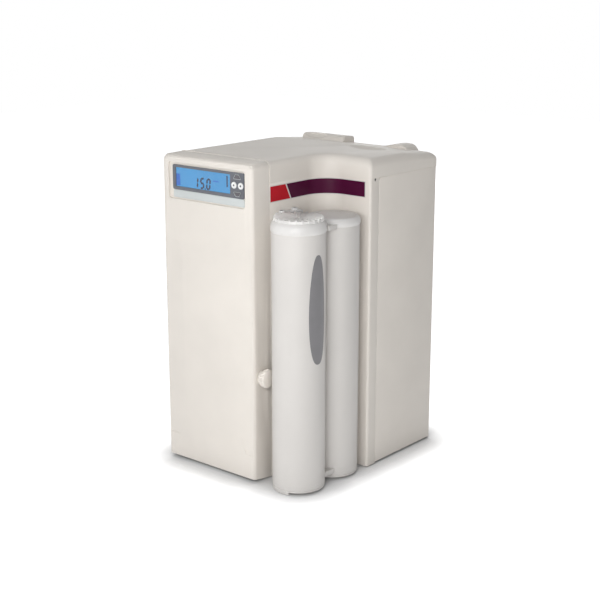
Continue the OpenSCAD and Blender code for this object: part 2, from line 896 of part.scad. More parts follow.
// Links on the outer side, between the caps above and the tubes below
module tube_links() {
    color("white") place() {
        translate([0, 0, tube_top - 1]) gusset(14, 32, link_h - 1, collar_r, link_w);
        translate([0, 0, pack_lift + link_lift]) gusset(9, 29, link_h);
    }
}

// Block on the wall side with the pack's two spigots
module port_block() {
    x0 = block_x - pack_x;
    color("white") place() {
        translate([0, 0, block_z]) gusset(x0, -9, block_h);
        for (s = [-1, 1])
            translate([0, pack_mid + s * spigot_off, spigot_z]) difference() {
                bar_x(socket_end + 0.6, block_x - socket_end - 0.6 + bite, spigot_r);
                bar_x(socket_end, 8, spigot_r - 2.6);
                difference() {
                    bar_x(socket_end + 2.6, 2, spigot_r + 1);
                    bar_x(socket_end + 2.5, 2.2, spigot_r - 1.2);
                }
            }
    }
}

// Sealing rings on the spigots
module port_seals() {
    color("black") place()
        for (s = [-1, 1])
            translate([socket_end + 3.6, pack_mid + s * spigot_off, spigot_z]) rotate([0, 90, 0])
                rotate_extrude() translate([spigot_r - 0.45, 0]) circle(0.62);
}

// Lower block on the wall side, with the hole for the locating peg
module foot_block() {
    color("white") place() difference() {
        translate([0, 0, peg_z - 9]) gusset(block_x - pack_x, -9, 18);
        translate([0, pack_mid, peg_z]) bar_x(block_x - 1, 7, peg_r + spigot_gap);
    }
}

// Oval label on the outer side of the front tube
module tube_label() {
    z_mid = tube_top - label_drop - label_h / 2;
    color("darkgray") place() translate([pack_x, pack_y1, z_mid]) rotate(-label_turn) intersection() {
        translate([0, 0, -label_h / 2 - 1]) difference() {
            cylinder(h = label_h + 2, r = tube_r + 0.4);
            translate([0, 0, -1]) cylinder(h = label_h + 4, r = tube_r);
        }
        along_x(0, tube_r + 2) polygon([for (i = [0:59])
            let (a = i * 6, c = cos(a), s = sin(a))
                [label_w / 2 * sign(c) * pow(abs(c), 0.8) * (1 - 0.12 * s), label_h / 2 * s]]);
    }
}

// Carbon block inside the front cartridge
module carbon_block() {
    color("black") place() translate([pack_x, pack_y1, base_top + 12]) difference() {
        cylinder(h = tube_top - base_top - 27, r = tube_in - 3);
        translate([0, 0, 14]) cylinder(h = tube_top, r = 9);
    }
}

// Ion exchange resin bed inside the rear cartridge
module resin_bed() {
    color("peru") place() translate([pack_x, pack_y2, base_top + 12])
        cylinder(h = tube_top - base_top - 27, r = tube_in - seat_gap);
}

// Block on the bay wall with the two sockets for the pack's spigots
module wall_manifold() {
    y0 = pack_mid - 31;
    y1 = pack_mid + 21;
    color("whitesmoke") place() difference() {
        union() {
            along_x(column_w, manifold_x1 - column_w) soft_rect(y0, manifold_z0, y1, manifold_z1 - 3, 4);
            for (y = [plug_y1, plug_y2])
                translate([column_w + 5.3, y, manifold_z1 - 3 - bite]) cylinder(h = 3, r = 5);
            for (s = [-1, 1])
                translate([0, pack_mid + s * spigot_off, spigot_z])
                    bar_x(column_w - wall - 14, wall + 14 + bite, 3);
        }
        for (s = [-1, 1])
            translate([0, pack_mid + s * spigot_off, spigot_z]) {
                bar_x(socket_end, pack_gap, socket_r);
                bar_x(column_w - wall - 15, wall + 20, 1.8);
            }
        for (y = [plug_y1, plug_y2])
            translate([column_w + 5.3, y, manifold_z1 - 9]) cylinder(h = 12, r = 3.5);
    }
}

// Dark plugs in the top of the wall block
module manifold_plugs() {
    color("black") place()
        for (y = [plug_y1, plug_y2])
            translate([column_w + 5.3, y, manifold_z1 - 8.8]) cylinder(h = 8.4, r = 3.3);
}

// Peg that locates the foot of the pack
module wall_peg() {
    color("whitesmoke") place() translate([0, pack_mid, peg_z]) {
        bar_x(column_w, 7, 9);
        bar_x(column_w + 7 - bite, pack_gap - 2, peg_r);
    }
}

// Neck of the cleaning port, with its flange behind the column's side
module cleaning_port() {
    color("whitesmoke") place() translate([0, port_y, port_z]) difference() {
        union() {
            bar_x(column_w - wall - 26, 26 + wall + 6, neck_r);
            intersection() {
                bar_x(column_w - wall - 5, 5, neck_r + 4);
                translate([0, corner_r + 0.3 - port_y, -50]) cube([column_w, 100, 100]);
            }
        }
        bar_x(column_w - wall - 27, wall + 40, neck_r - 2.5);
    }
}

// Cap that closes the cleaning port, with a smooth collar and a wider fluted grip
module cleaning_cap() {
    x0 = column_w + 0.4;
    collar_len = 4.8;
    grip_len = cap_len - 0.4 - collar_len;
    color("ivory") place() translate([0, port_y, port_z]) difference() {
        union() {
            translate([x0, 0, 0]) rotate([0, 90, 0]) rotate_extrude() polygon([[0, 0], [cap_r, 0],
                [cap_r, collar_len - 1.6], [cap_r - 0.5, collar_len - 0.6], [cap_r - 1.4, collar_len],
                [0, collar_len]]);
            translate([x0 + collar_len - bite, 0, 0]) rotate([0, 90, 0]) rotate_extrude() polygon([[0, 0],
                [grip_r - 1.2, 0], [grip_r, 1.2], [grip_r, grip_len - 2.4], [grip_r - 0.8, grip_len - 0.9],
                [grip_r - 2.4, grip_len + bite], [0, grip_len + bite]]);
        }
        bar_x(column_w, 7.2, neck_r + cap_gap);
        for (i = [0:flutes - 1])
            rotate([i * 360 / flutes, 0, 0]) translate([0, 0, grip_r + 0.5])
                bar_x(x0 + collar_len - 1, cap_len, 1.5);
    }
}

// Flat seal inside the cap
module cap_seal() {
    color("black") place() translate([0, port_y, port_z]) difference() {
        bar_x(column_w + 6.1, 1, neck_r);
        bar_x(column_w + 5, 3, neck_r - 2.5);
    }
}

// Three hose fittings through the rear panel, each with a flange, a nut and a stub
module hose_fittings() {
    r = stub_d / 2;
    color("whitesmoke") place()
        for (i = [-1, 0, 1])
            translate([fit_x + i * stub_pitch, 0, fit_z]) difference() {
                union() {
                    bar_y(rear_in - 18, wall + 18 + stub_len, r);
                    bar_y(rear_in - 8, wall + 9, r + 2);
                    bar_y(body_d, 3, r + 5);
                    bar_y(rear_in - 5, 5, r + 5);
                }
                bar_y(rear_in - 19, wall + stub_len + 20, r - 1.6);
            }
}

// Power inlet with a shaped recess that takes a mains connector
module power_inlet() {
    color("black") place() difference() {
        union() {
            along_y(rear_in - 18, wall + 18)
                soft_rect(inlet_x - 13.7, inlet_z - 10.2, inlet_x + 13.7, inlet_z + 10.2, 2.7);
            along_y(body_d, 2.5) soft_rect(inlet_x - 24, inlet_z - 14, inlet_x + 24, inlet_z + 14, 4);
            along_y(rear_in - 6, 6) soft_rect(inlet_x - 17, inlet_z - 9, inlet_x + 17, inlet_z + 9, 2);
        }
        along_y(rear_in - 13, wall + 17) polygon([[inlet_x - 12, inlet_z - 8], [inlet_x + 12, inlet_z - 8],
            [inlet_x + 12, inlet_z + 4], [inlet_x + 8, inlet_z + 8], [inlet_x - 8, inlet_z + 8],
            [inlet_x - 12, inlet_z + 4]]);
        for (s = [-1, 0, 1])
            along_y(rear_in - 20, 10) translate([inlet_x + s * 7, inlet_z + (s == 0 ? 3 : -1)])
                square([2.4, 4.4], center = true);
    }
}

// Three flat contacts in the power inlet
module inlet_contacts() {
    color("silver") place()
        for (s = [-1, 0, 1])
            along_y(rear_in - 26, 18) translate([inlet_x + s * 7, inlet_z + (s == 0 ? 3 : -1)])
                square([2, 4], center = true);
}

// Power supply box with vent slots
module power_supply() {
    y0 = cover_d + 22;
    color("silver") place() difference() {
        translate([supply_x + 3, y0, supply_z]) cube([supply_w, supply_len, supply_h]);
        translate([supply_x + 5, y0 + 2, supply_z + 2]) cube([supply_w - 4, supply_len - 4, supply_h - 4]);
        for (i = [0:8])
            translate([supply_x + supply_w - 6, y0 + 14 + i * (supply_len - 32) / 8, supply_z + 30])
                cube([20, 4, supply_h - 56]);
    }
}

// Main circuit board on the left-hand side, with its larger components
module control_board() {
    x0 = board_x;
    y0 = board_y0;
    z0 = board_z0;
    color("darkgreen") place() {
        translate([x0, y0, z0]) cube([1.6, main_board_w, main_board_h]);
        translate([x0 + 1.6 - bite, y0 + 20, z0 + 96]) cube([3, 26, 26]);
        translate([x0 + 1.6 - bite, y0 + 62, z0 + 100]) cube([2.4, 16, 22]);
        translate([x0 + 1.6 - bite, y0 + 10, z0 + 12]) cube([12, 60, 9]);
        translate([x0 + 1.6 - bite, y0 + 84, z0 + 24]) cube([14, 14, 26]);
        translate([x0 + 1.6 - bite, y0 + 84, z0 + 58]) cube([14, 14, 26]);
        for (i = [0:3])
            translate([0, y0 + 22 + i * 14, z0 + 48]) bar_x(x0 + 1.6 - bite, 16, 5);
        translate([x0 + 1.6 - bite, y0 + 14, z0 + 142]) cube([10, 84, 8]);
    }
}

// One hose along straight runs that meet at right angles, with round bends
module hose(pts) {
    last = len(pts) - 1;
    for (i = [0:last - 1]) {
        d = (pts[i + 1] - pts[i]) / norm(pts[i + 1] - pts[i]);
        u = abs(d[0]) > 0.5 ? [0, 1, 0] : [1, 0, 0];
        v = cross(d, u);
        a = pts[i] + d * (i > 0 ? hose_bend : 0);
        b = pts[i + 1] - d * (i < last - 1 ? hose_bend : 0);
        multmatrix([[u[0], v[0], d[0], a[0]], [u[1], v[1], d[1], a[1]], [u[2], v[2], d[2], a[2]]])
            cylinder(h = norm(b - a), r = hose_r);
        if (i < last - 1) {
            e = (pts[i + 2] - pts[i + 1]) / norm(pts[i + 2] - pts[i + 1]);
            w = cross(d, e);
            c = b + e * hose_bend;
            multmatrix([[-e[0], d[0], w[0], c[0]], [-e[1], d[1], w[1], c[1]], [-e[2], d[2], w[2], c[2]]])
                rotate_extrude(angle = 90) translate([hose_bend, 0]) circle(hose_r);
        }
    }
}

// Hoses between the fittings, the valve, the pack sockets, the pump, the cylinder and the stack
module hoses() {
    y_fit = rear_in - 18;
    y_run = valve_y - 25;
    y_in = pack_mid - spigot_off;
    y_out = pack_mid + spigot_off;
    x_stub = column_w - wall - 14;
    x_side = valve_x - 30;
    x_mid = x_side - 20;
    x_stack = stack_x + stack_w / 2;
    y_feed = stack_y + plate_t / 2;
    y_prod = stack_y + plate_t * 1.5 + stack_t;
    z_stack = stack_z + stack_h + 8;
    z_cap = osmosis_top + 26;
    z_pump = motor_z + 44;
    x_clean = column_w - wall - 26;
    color("lightblue") place() {
        hose([[fit_x + stub_pitch, y_fit, fit_z], [fit_x + stub_pitch, y_run, fit_z],
            [fit_x + stub_pitch, y_run, valve_z - 50], [valve_x, y_run, valve_z - 50],
            [valve_x, valve_y, valve_z - 50], [valve_x, valve_y, valve_z - 12]]);
        hose([[x_side, valve_y, valve_z + 12], [x_mid, valve_y, valve_z + 12],
            [x_mid, valve_y, spigot_z + 26], [x_mid, y_in, spigot_z + 26],
            [x_mid, y_in, spigot_z], [x_stub, y_in, spigot_z]]);
        hose([[x_stub, y_out, spigot_z], [motor_x + 14, y_out, spigot_z], [motor_x + 14, y_out, z_pump]]);
        hose([[motor_x - 14, y_out, z_pump], [motor_x - 14, y_out, z_cap + 28],
            [motor_x - 14, osmosis_y - 10, z_cap + 28], [osmosis_x + 14, osmosis_y - 10, z_cap + 28],
            [osmosis_x + 14, osmosis_y - 10, z_cap]]);
        hose([[osmosis_x - 14, osmosis_y - 10, z_cap], [osmosis_x - 14, osmosis_y - 10, z_cap + 44],
            [osmosis_x - 14, y_feed, z_cap + 44], [x_stack, y_feed, z_cap + 44], [x_stack, y_feed, z_stack]]);
        hose([[x_stack, y_prod, z_stack], [x_stack, y_prod, z_stack + 30], [fit_x, y_prod, z_stack + 30],
            [fit_x, y_prod, fit_z], [fit_x, y_fit, fit_z]]);
        hose([[osmosis_x, osmosis_y + 15, z_cap], [osmosis_x, osmosis_y + 15, z_cap + 24],
            [fit_x - stub_pitch, osmosis_y + 15, z_cap + 24], [fit_x - stub_pitch, osmosis_y + 15, fit_z],
            [fit_x - stub_pitch, y_fit, fit_z]]);
        hose([[x_clean, port_y, port_z], [motor_x, port_y, port_z], [motor_x, port_y, motor_z],
            [motor_x, head_y0 - 20, motor_z]]);
    }
}

// Pressure cylinder on its foot
module osmosis_housing() {
    color("white") place() translate([osmosis_x, osmosis_y, 0]) {
        translate([0, 0, deck_z]) cylinder(h = 22, r = osmosis_r + foot_lip);
        translate([0, 0, deck_z + 22 - bite]) cylinder(h = osmosis_z - deck_z - 22 + 2 * bite, r = osmosis_r);
        translate([0, 0, osmosis_z]) difference() {
            cylinder(h = osmosis_h, r = osmosis_r);
            translate([0, 0, -bite]) cylinder(h = osmosis_h + 1, r = osmosis_r - 4);
        }
    }
}

// Screwed cap of the pressure cylinder with three hose ports
module osmosis_cap() {
    color("whitesmoke") place() translate([osmosis_x, osmosis_y, osmosis_top]) {
        translate([0, 0, -10]) cylinder(h = 10 + bite, r = osmosis_r - 4 - seat_gap);
        difference() {
            cylinder(h = 16, r = osmosis_r + 3);
            for (i = [0:15])
                rotate(i * 22.5) translate([osmosis_r + 4, 0, -1]) cylinder(h = 18, r = 2.4);
        }
        for (p = [[-14, -10], [14, -10], [0, 15]])
            translate([p[0], p[1], 16 - bite]) cylinder(h = 10 + bite, r = 5);
    }
}

// Wound membrane inside the pressure cylinder
module osmosis_membrane() {
    color("navajowhite") place() translate([osmosis_x, osmosis_y, osmosis_z + 0.1]) difference() {
        cylinder(h = osmosis_h - 10.4, r = osmosis_r - 4 - seat_gap);
        translate([0, 0, 8]) cylinder(h = osmosis_h, r = 6);
    }
}

// Saddles that hold the pressure cylinder to the rear panel
module osmosis_clips() {
    color("dimgray") place()
        for (z = [osmosis_z + clip_low, osmosis_top - clip_high])
            translate([0, 0, z]) linear_extrude(clip_h) difference() {
                translate([osmosis_x - osmosis_r - 4, osmosis_y + 6])
                    square([osmosis_d + 8, rear_in - osmosis_y - 6]);
                translate([osmosis_x, osmosis_y]) circle(osmosis_r + 0.25);
            }
}

// End plates of the deionisation stack, which stand on the tray
module stack_plates() {
    color("lightgray") place()
        for (y = [stack_y, stack_y + plate_t + stack_t])
            difference() {
                union() {
                    translate([stack_x, y, deck_z]) cube([stack_w, plate_t, stack_z + stack_h - deck_z]);
                    translate([stack_x + stack_w / 2, y + plate_t / 2, stack_z + stack_h - bite])
                        cylinder(h = 8 + bite, r = 5);
                }
                for (s = [8, stack_w - 8], z = [10, stack_h / 2, stack_h - 10])
                    translate([stack_x + s, 0, stack_z + z]) bar_y(y - 1, plate_t + 2, 3.2);
                translate([stack_x + 14, y - 1, deck_z - 1]) cube([stack_w - 28, plate_t + 2, 24]);
            }
}

// Cells between the end plates
module stack_cells() {
    n = 12;
    pitch = stack_t / n;
    color("khaki") place()
        for (i = [0:n - 1])
            translate([stack_x + 14, stack_y + plate_t + i * pitch, stack_z]) {
                cube([stack_w - 28, pitch - 0.8, stack_h]);
                translate([3, pitch - 0.8 - bite, 3]) cube([stack_w - 34, 0.6 + bite, stack_h - 6]);
            }
}

// Tie rods of the deionisation stack with their nuts
module stack_rods() {
    len = stack_t + 2 * plate_t;
    color("gray") place()
        for (s = [8, stack_w - 8], z = [10, stack_h / 2, stack_h - 10])
            translate([stack_x + s, 0, stack_z + z]) {
                bar_y(stack_y - 5, len + 10, 3);
                bar_y(stack_y - 4, 4, 5.5);
                bar_y(stack_y + len, 4, 5.5);
            }
}

// Bracket that carries the pump over the tray on four rubber mounts
module pump_bracket() {
    w = motor_d + bracket_over;
    color("dimgray") place() translate([motor_x, 0, 0]) {
        for (s = [-1, 1], y = [motor_y0 + mount_in, motor_y1 - mount_in])
            translate([s * (w / 2 - 9), y, deck_z]) cylinder(h = 12, r = 8);
        difference() {
            union() {
                translate([-w / 2, motor_y0 + 2, deck_z + 12 - bite]) cube([w, motor_len - 4, 4]);
                for (y = [motor_y0 + 6, motor_y1 - 18])
                    translate([-motor_r + 4, y, deck_z + 15]) cube([motor_d - 8, 12, motor_z - deck_z - 30]);
            }
            translate([0, 0, motor_z]) bar_y(motor_y0, motor_len, motor_r + 0.25);
        }
    }
}

// Motor can with its two end bells
module pump_motor() {
    color("gray") place() translate([motor_x, 0, motor_z]) difference() {
        bar_y(motor_y0, motor_len, motor_r);
        bar_y(motor_y0 + bell_t, motor_len - 2 * bell_t, motor_r - 4);
        bar_y(motor_y0 - 1, motor_len - 6, shaft_r + 2);
        bar_y(motor_y0 + bell_t - bearing_t, bearing_t + 1, bearing_r);
        bar_y(motor_y1 - bell_t - 1, bearing_t + 1, bearing_r);
    }
}

// Pump rotor with its armature and the eccentric in the pump head
module pump_rotor() {
    color("darkorange") place() translate([motor_x, 0, motor_z]) {
        bar_y(motor_y0 - 26, motor_y1 - bell_t + bearing_t - motor_y0 + 26 - 0.5, shaft_r);
        bar_y(motor_y0 + bell_t + 6, motor_len - 2 * bell_t - 12, motor_r - 10);
        translate([2.5, 0, 0]) bar_y(motor_y0 - 24, 12, 11);
    }
}

// Bearings in the two end bells
module pump_bearings() {
    color("silver") place() translate([motor_x, 0, motor_z])
        for (y = [motor_y0 + bell_t - bearing_t + 0.1, motor_y1 - bell_t + 0.1])
            difference() {
                bar_y(y, bearing_t - 0.4, bearing_r - shaft_gap);
                bar_y(y - 1, bearing_t + 2, shaft_r + shaft_gap);
            }
}

// Pump head bolted to the motor, with two hose ports
module pump_head() {
    color("dimgray") place() translate([motor_x, 0, motor_z]) difference() {
        union() {
            along_y(head_y0, motor_y0 - head_y0) soft_rect(-head_r, -head_r, head_r, head_r, head_round);
            bar_y(head_y0 - 8, 8 + bite, 24);
            bar_y(head_y0 - 20, 12 + bite, 5);
            for (s = [-1, 1])
                translate([s * 14, pump_port_y, 30 - bite]) cylinder(h = 14 + bite, r = 5);
        }
        bar_y(head_y0 + 16, motor_y0 - head_y0, 17);
    }
}

// Inlet valve body on the rear panel, with its coil
module valve_body() {
    color("darkslategray") place() difference() {
        union() {
            translate([valve_x - valve_w / 2, valve_y - valve_front, valve_z])
                cube([valve_w, rear_in - valve_y + valve_front, valve_h]);
            translate([valve_x, valve_y, valve_z + valve_h - bite]) cylinder(h = 34, r = 14);
            translate([valve_x, valve_y, valve_z - 12]) cylinder(h = 12 + bite, r = 5);
            translate([0, valve_y, valve_z + 12]) bar_x(valve_x - 30, 14, 5);
        }
        translate([valve_x, valve_y, valve_z + 12]) cylinder(h = 40, r = 5);
    }
}

// Plunger that the coil lifts
module valve_plunger() {
    color("silver") place() translate([valve_x, valve_y, valve_z + 12.2])
        cylinder(h = 39.8 - valve_travel - 1, r = 4.8);
}

base_tray();
rubber_feet();
front_cover();
left_panel();
bay_wall();
right_panel();
rear_panel();
case_screws();
lid();
tag_red();
tag_purple();
display_bezel();
display_band();
display_window();
screen();
key_board();
key_switches();
key_left();
key_right();
key_up();
key_down();
front_tube();
rear_tube();
front_cap();
rear_cap();
front_base();
rear_base();
tube_links();
port_block();
port_seals();
foot_block();
tube_label();
carbon_block();
resin_bed();
wall_manifold();
manifold_plugs();
wall_peg();
cleaning_port();
cleaning_cap();
cap_seal();
hose_fittings();
power_inlet();
inlet_contacts();
power_supply();
control_board();
hoses();
osmosis_housing();
osmosis_cap();
osmosis_membrane();
osmosis_clips();
stack_plates();
stack_cells();
stack_rods();
pump_bracket();
pump_motor();
pump_rotor();
pump_bearings();
pump_head();
valve_body();
valve_plunger();
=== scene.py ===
"""Looks of a benchtop water purifier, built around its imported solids."""

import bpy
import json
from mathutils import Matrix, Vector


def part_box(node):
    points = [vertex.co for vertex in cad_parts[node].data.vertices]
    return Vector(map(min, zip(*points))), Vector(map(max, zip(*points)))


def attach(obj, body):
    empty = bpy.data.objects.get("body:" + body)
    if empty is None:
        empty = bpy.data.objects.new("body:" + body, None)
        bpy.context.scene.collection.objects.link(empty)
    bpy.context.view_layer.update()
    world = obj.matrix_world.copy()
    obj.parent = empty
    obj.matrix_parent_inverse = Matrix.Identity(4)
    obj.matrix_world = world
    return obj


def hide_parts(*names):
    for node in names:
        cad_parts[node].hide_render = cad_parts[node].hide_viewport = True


bl_info = {
    "name": "Benchtop water purifier",
    "version": (1, 0, 0),
    "blender": (4, 5, 0),
    "location": "3D View > Sidebar > Purifier",
    "description": "Dresses the packed purifier with soft shells, a lit display and plastic finishes",
    "category": "Object",
}

import json
import math

import bpy
from bpy.props import FloatProperty, FloatVectorProperty, PointerProperty
from mathutils import Vector

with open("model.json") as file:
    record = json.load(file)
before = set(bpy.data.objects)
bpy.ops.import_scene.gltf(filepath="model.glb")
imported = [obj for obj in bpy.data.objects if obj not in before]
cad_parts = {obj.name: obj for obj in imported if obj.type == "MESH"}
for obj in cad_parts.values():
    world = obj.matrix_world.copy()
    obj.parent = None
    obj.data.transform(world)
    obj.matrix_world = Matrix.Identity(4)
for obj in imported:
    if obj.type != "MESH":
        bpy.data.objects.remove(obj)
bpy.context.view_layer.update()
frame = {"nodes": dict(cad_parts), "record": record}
BODY_OF = {node: body for body, nodes in frame["record"]["behaviour"]["bodies"].items() for node in nodes}
SLOT_OF = {row["node"]: row["material_slot"] for row in frame["record"]["subparts"]}
MM = 0.001
FINISH = {}

COVER_LOW, COVER_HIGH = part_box("front_cover")
LID_LOW, LID_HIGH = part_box("lid")
PURPLE_LOW, PURPLE_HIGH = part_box("tag_purple")
WINDOW_LOW, WINDOW_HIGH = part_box("display_window")
RED_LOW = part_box("tag_red")[0]
SCREEN_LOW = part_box("screen")[0]
SIDE_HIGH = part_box("right_panel")[1]
LEFT = COVER_LOW.x
FRONT = COVER_LOW.y
COLUMN = COVER_HIGH.x
SIDE = SIDE_HIGH.x
BAY = PURPLE_HIGH.y
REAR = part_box("rear_panel")[1].y
SEAM_GAP = 0.2 * MM
LID_STEP = 0.6 * MM
SEAM = SIDE_HIGH.z + SEAM_GAP
TOP = COVER_HIGH.z - LID_STEP
GRIP_REAR = REAR - 2.2 * MM
GRIP_ROOT = 5 * MM
SAME_PLACE = 0.002 * MM

# Rounding of the edges of each moulding in millimetres
SOFT_EDGES = {
    "front_cover": 0.8, "left_panel": 0.6, "right_panel": 0.6, "bay_wall": 0.6, "rear_panel": 0.5,
    "display_bezel": 0.35, "display_band": 0.35, "key_left": 0.6, "key_right": 0.6, "key_up": 0.3,
    "key_down": 0.3, "front_cap": 0.6, "rear_cap": 0.6, "front_base": 0.6, "rear_base": 0.6,
    "tube_links": 0.7, "wall_manifold": 0.8, "manifold_plugs": 0.3, "cleaning_cap": 0.4,
    "cleaning_port": 0.4, "power_inlet": 0.4, "hose_fittings": 0.3,
}


class CaseSizes(bpy.types.PropertyGroup):
    """Sizes of the lid, its seam and the coloured band"""

    bay_radius: FloatProperty(
        name="Bay radius", description="Radius of the curved wall in the open bay",
        default=40 * MM, unit="LENGTH")
    lid_over: FloatProperty(
        name="Lid overhang", description="How far the lid stands out over the panels",
        default=LEFT - LID_LOW.x, unit="LENGTH")
    lid_corner: FloatProperty(
        name="Lid corner", description="Radius of the lid's corners seen from above",
        default=6 * MM, unit="LENGTH")
    lid_rounding: FloatProperty(
        name="Lid rounding", description="Rounding along the lid's upper edge",
        default=9 * MM, unit="LENGTH")
    block_rounding: FloatProperty(
        name="Block rounding", description="Rounding along the lid's edge over the right-hand block",
        default=15 * MM, unit="LENGTH")
    lid_wall: FloatProperty(
        name="Lid wall", description="Thickness of the lid's skirt", default=3.2 * MM, unit="LENGTH")
    side_fall: FloatProperty(
        name="Side fall", description="How far the lid falls towards the right-hand side",
        default=3 * MM, unit="LENGTH")
    lid_fall: FloatProperty(
        name="Lid fall", description="How far the lid slopes down towards the rear",
        default=8 * MM, unit="LENGTH")
    slope_len: FloatProperty(
        name="Slope length", description="Length of the sloping rear part of the lid",
        default=84 * MM, unit="LENGTH")
    bead_radius: FloatProperty(
        name="Bead radius", description="Radius of the bead between the cover and the lid",
        default=1.1 * MM, unit="LENGTH")
    tag_border: FloatProperty(
        name="Tag border", description="Pale border around the coloured band",
        default=1.3 * MM, unit="LENGTH")


class DisplaySizes(bpy.types.PropertyGroup):
    """Sizes of the figures and marks on the display"""

    digit_height: FloatProperty(
        name="Digit height", description="Height of the figures", default=18.0 * MM, unit="LENGTH")
    digit_width: FloatProperty(
        name="Digit width", description="Width of one figure", default=9.4 * MM, unit="LENGTH")
    digit_pitch: FloatProperty(
        name="Digit pitch", description="Distance from one figure to the next",
        default=13.0 * MM, unit="LENGTH")
    stroke: FloatProperty(
        name="Stroke", description="Thickness of a figure's bars", default=3.1 * MM, unit="LENGTH")
    slant: FloatProperty(
        name="Slant", description="Lean of the figures", default=math.radians(6), subtype="ANGLE")


class FinishColours(bpy.types.PropertyGroup):
    """Colours as they are seen"""

    case: FloatVectorProperty(
        name="Case", description="Warm white of the case", subtype="COLOR_GAMMA", size=3,
        min=0, max=1, default=(0.895, 0.872, 0.842))
    pack: FloatVectorProperty(
        name="Pack", description="White of the cartridge tubes", subtype="COLOR_GAMMA", size=3,
        min=0, max=1, default=(0.83, 0.817, 0.803))
    caps: FloatVectorProperty(
        name="Caps", description="Cool white of the cartridge caps", subtype="COLOR_GAMMA", size=3,
        min=0, max=1, default=(0.865, 0.858, 0.85))
    red: FloatVectorProperty(
        name="Red band", description="Red end of the coloured band", subtype="COLOR_GAMMA", size=3,
        min=0, max=1, default=(0.75, 0.09, 0.15))
    purple: FloatVectorProperty(
        name="Purple band", description="Purple part of the coloured band", subtype="COLOR_GAMMA",
        size=3, min=0, max=1, default=(0.29, 0.03, 0.19))
    bezel: FloatVectorProperty(
        name="Bezel", description="Dark frame of the display", subtype="COLOR_GAMMA", size=3,
        min=0, max=1, default=(0.35, 0.36, 0.39))
    screen: FloatVectorProperty(
        name="Screen", description="Lit blue of the display", subtype="COLOR_GAMMA", size=3,
        min=0, max=1, default=(0.22, 0.575, 0.81))
    figures: FloatVectorProperty(
        name="Figures", description="Dark blue of the figures", subtype="COLOR_GAMMA", size=3,
        min=0, max=1, default=(0.0, 0.06, 0.2))
    level_bar: FloatVectorProperty(
        name="Level bar", description="Blue of the bar and the dash on the display",
        subtype="COLOR_GAMMA", size=3, min=0, max=1, default=(0.07, 0.3, 0.6))
    label: FloatVectorProperty(
        name="Label", description="Grey of the oval label", subtype="COLOR_GAMMA", size=3,
        min=0, max=1, default=(0.485, 0.48, 0.49))
    screen_glow: FloatProperty(
        name="Screen glow", description="Strength of the screen's own light", default=0.74)
    bar_glow: FloatProperty(
        name="Bar glow", description="Strength of the level bar's own light", default=0.6)


class StageSizes(bpy.types.PropertyGroup):
    """Camera, light and floor"""

    camera_from_corner: FloatVectorProperty(
        name="Camera place", description="Camera's place from the front left foot of the case",
        subtype="TRANSLATION", unit="LENGTH", size=3, default=(1.415, -1.3475, 0.777))
    camera_tilt: FloatProperty(
        name="Camera tilt", description="Tilt up from straight down",
        default=math.radians(75.25), subtype="ANGLE")
    camera_turn: FloatProperty(
        name="Camera turn", description="Turn about the upright axis",
        default=math.radians(40.1), subtype="ANGLE")
    lens: FloatProperty(
        name="Lens", description="Focal length in millimetres", default=75.48, unit="CAMERA")
    sky: FloatProperty(
        name="Sky", description="Level of the light from all round", default=0.24)
    left_power: FloatProperty(
        name="Left light", description="Power of the soft light at the front left", default=17.0,
        unit="POWER")
    right_power: FloatProperty(
        name="Right light", description="Power of the soft light at the front right", default=7.6,
        unit="POWER")
    soft_size: FloatProperty(
        name="Soft size", description="Side of the soft lights", default=1.6, unit="LENGTH")
    bay_power: FloatProperty(
        name="Bay light", description="Power of the near light that reaches into the bay", default=5.0,
        unit="POWER")
    back_power: FloatProperty(
        name="Back light", description="Power of the soft light behind", default=7.0, unit="POWER")
    top_power: FloatProperty(
        name="Top light", description="Power of the soft light above", default=7.0, unit="POWER")
    bay_size: FloatProperty(
        name="Bay light size", description="Side of the near light", default=0.5, unit="LENGTH")
    floor_size: FloatProperty(
        name="Floor", description="Side of the floor", default=9.0, unit="LENGTH")
    floor_grey: FloatProperty(
        name="Floor grey", description="Share of the light that the floor's paint returns", default=0.7)
    floor_glow: FloatProperty(
        name="Floor white", description="White that the camera sees on the floor", default=0.95)
    floor_bounce: FloatProperty(
        name="Floor bounce", description="Light that the floor throws back at the case", default=0.3)
    # The soft shadow at the foot is painted: the floor's glow is darkened by ambient occlusion over this
    # reach and power
    shadow_reach: FloatProperty(
        name="Shadow reach", description="How far the soft shadow at the foot reaches",
        default=0.06, unit="LENGTH")
    shadow_depth: FloatProperty(
        name="Shadow depth", description="How fast the soft shadow darkens towards the foot", default=3.6)


def choose(piece):
    """Make one object the only selected and the active one"""
    if bpy.context.mode != "OBJECT":
        bpy.ops.object.mode_set(mode="OBJECT")
    bpy.ops.object.select_all(action="DESELECT")
    piece.hide_set(False)
    piece.select_set(True)
    bpy.context.view_layer.objects.active = piece


def edit_all(piece):
    """Open a piece for editing with everything selected"""
    choose(piece)
    bpy.ops.object.mode_set(mode="EDIT")
    bpy.ops.mesh.select_all(action="SELECT")


def pick(piece, kind, rule):
    """Select the faces, edges or corners of a piece that meet a rule, and leave it open"""
    choose(piece)
    bpy.ops.object.mode_set(mode="EDIT")
    bpy.ops.mesh.select_mode(type=kind)
    bpy.ops.mesh.select_all(action="DESELECT")
    bpy.ops.object.mode_set(mode="OBJECT")
    mesh = piece.data
    items = {"FACE": mesh.polygons, "EDGE": mesh.edges, "VERT": mesh.vertices}[kind]
    count = 0
    for item in items:
        item.select = bool(rule(item))
        count += item.select
    if not count:
        raise RuntimeError(f"nothing to select on {piece.name}")
    bpy.ops.object.mode_set(mode="EDIT")


def close(piece):
    """Leave the editing of a piece"""
    bpy.ops.object.mode_set(mode="OBJECT")
    return piece


def extrude(push):
    """Push out what is selected"""
    bpy.ops.mesh.extrude_region_move(TRANSFORM_OT_translate={"value": tuple(push)})


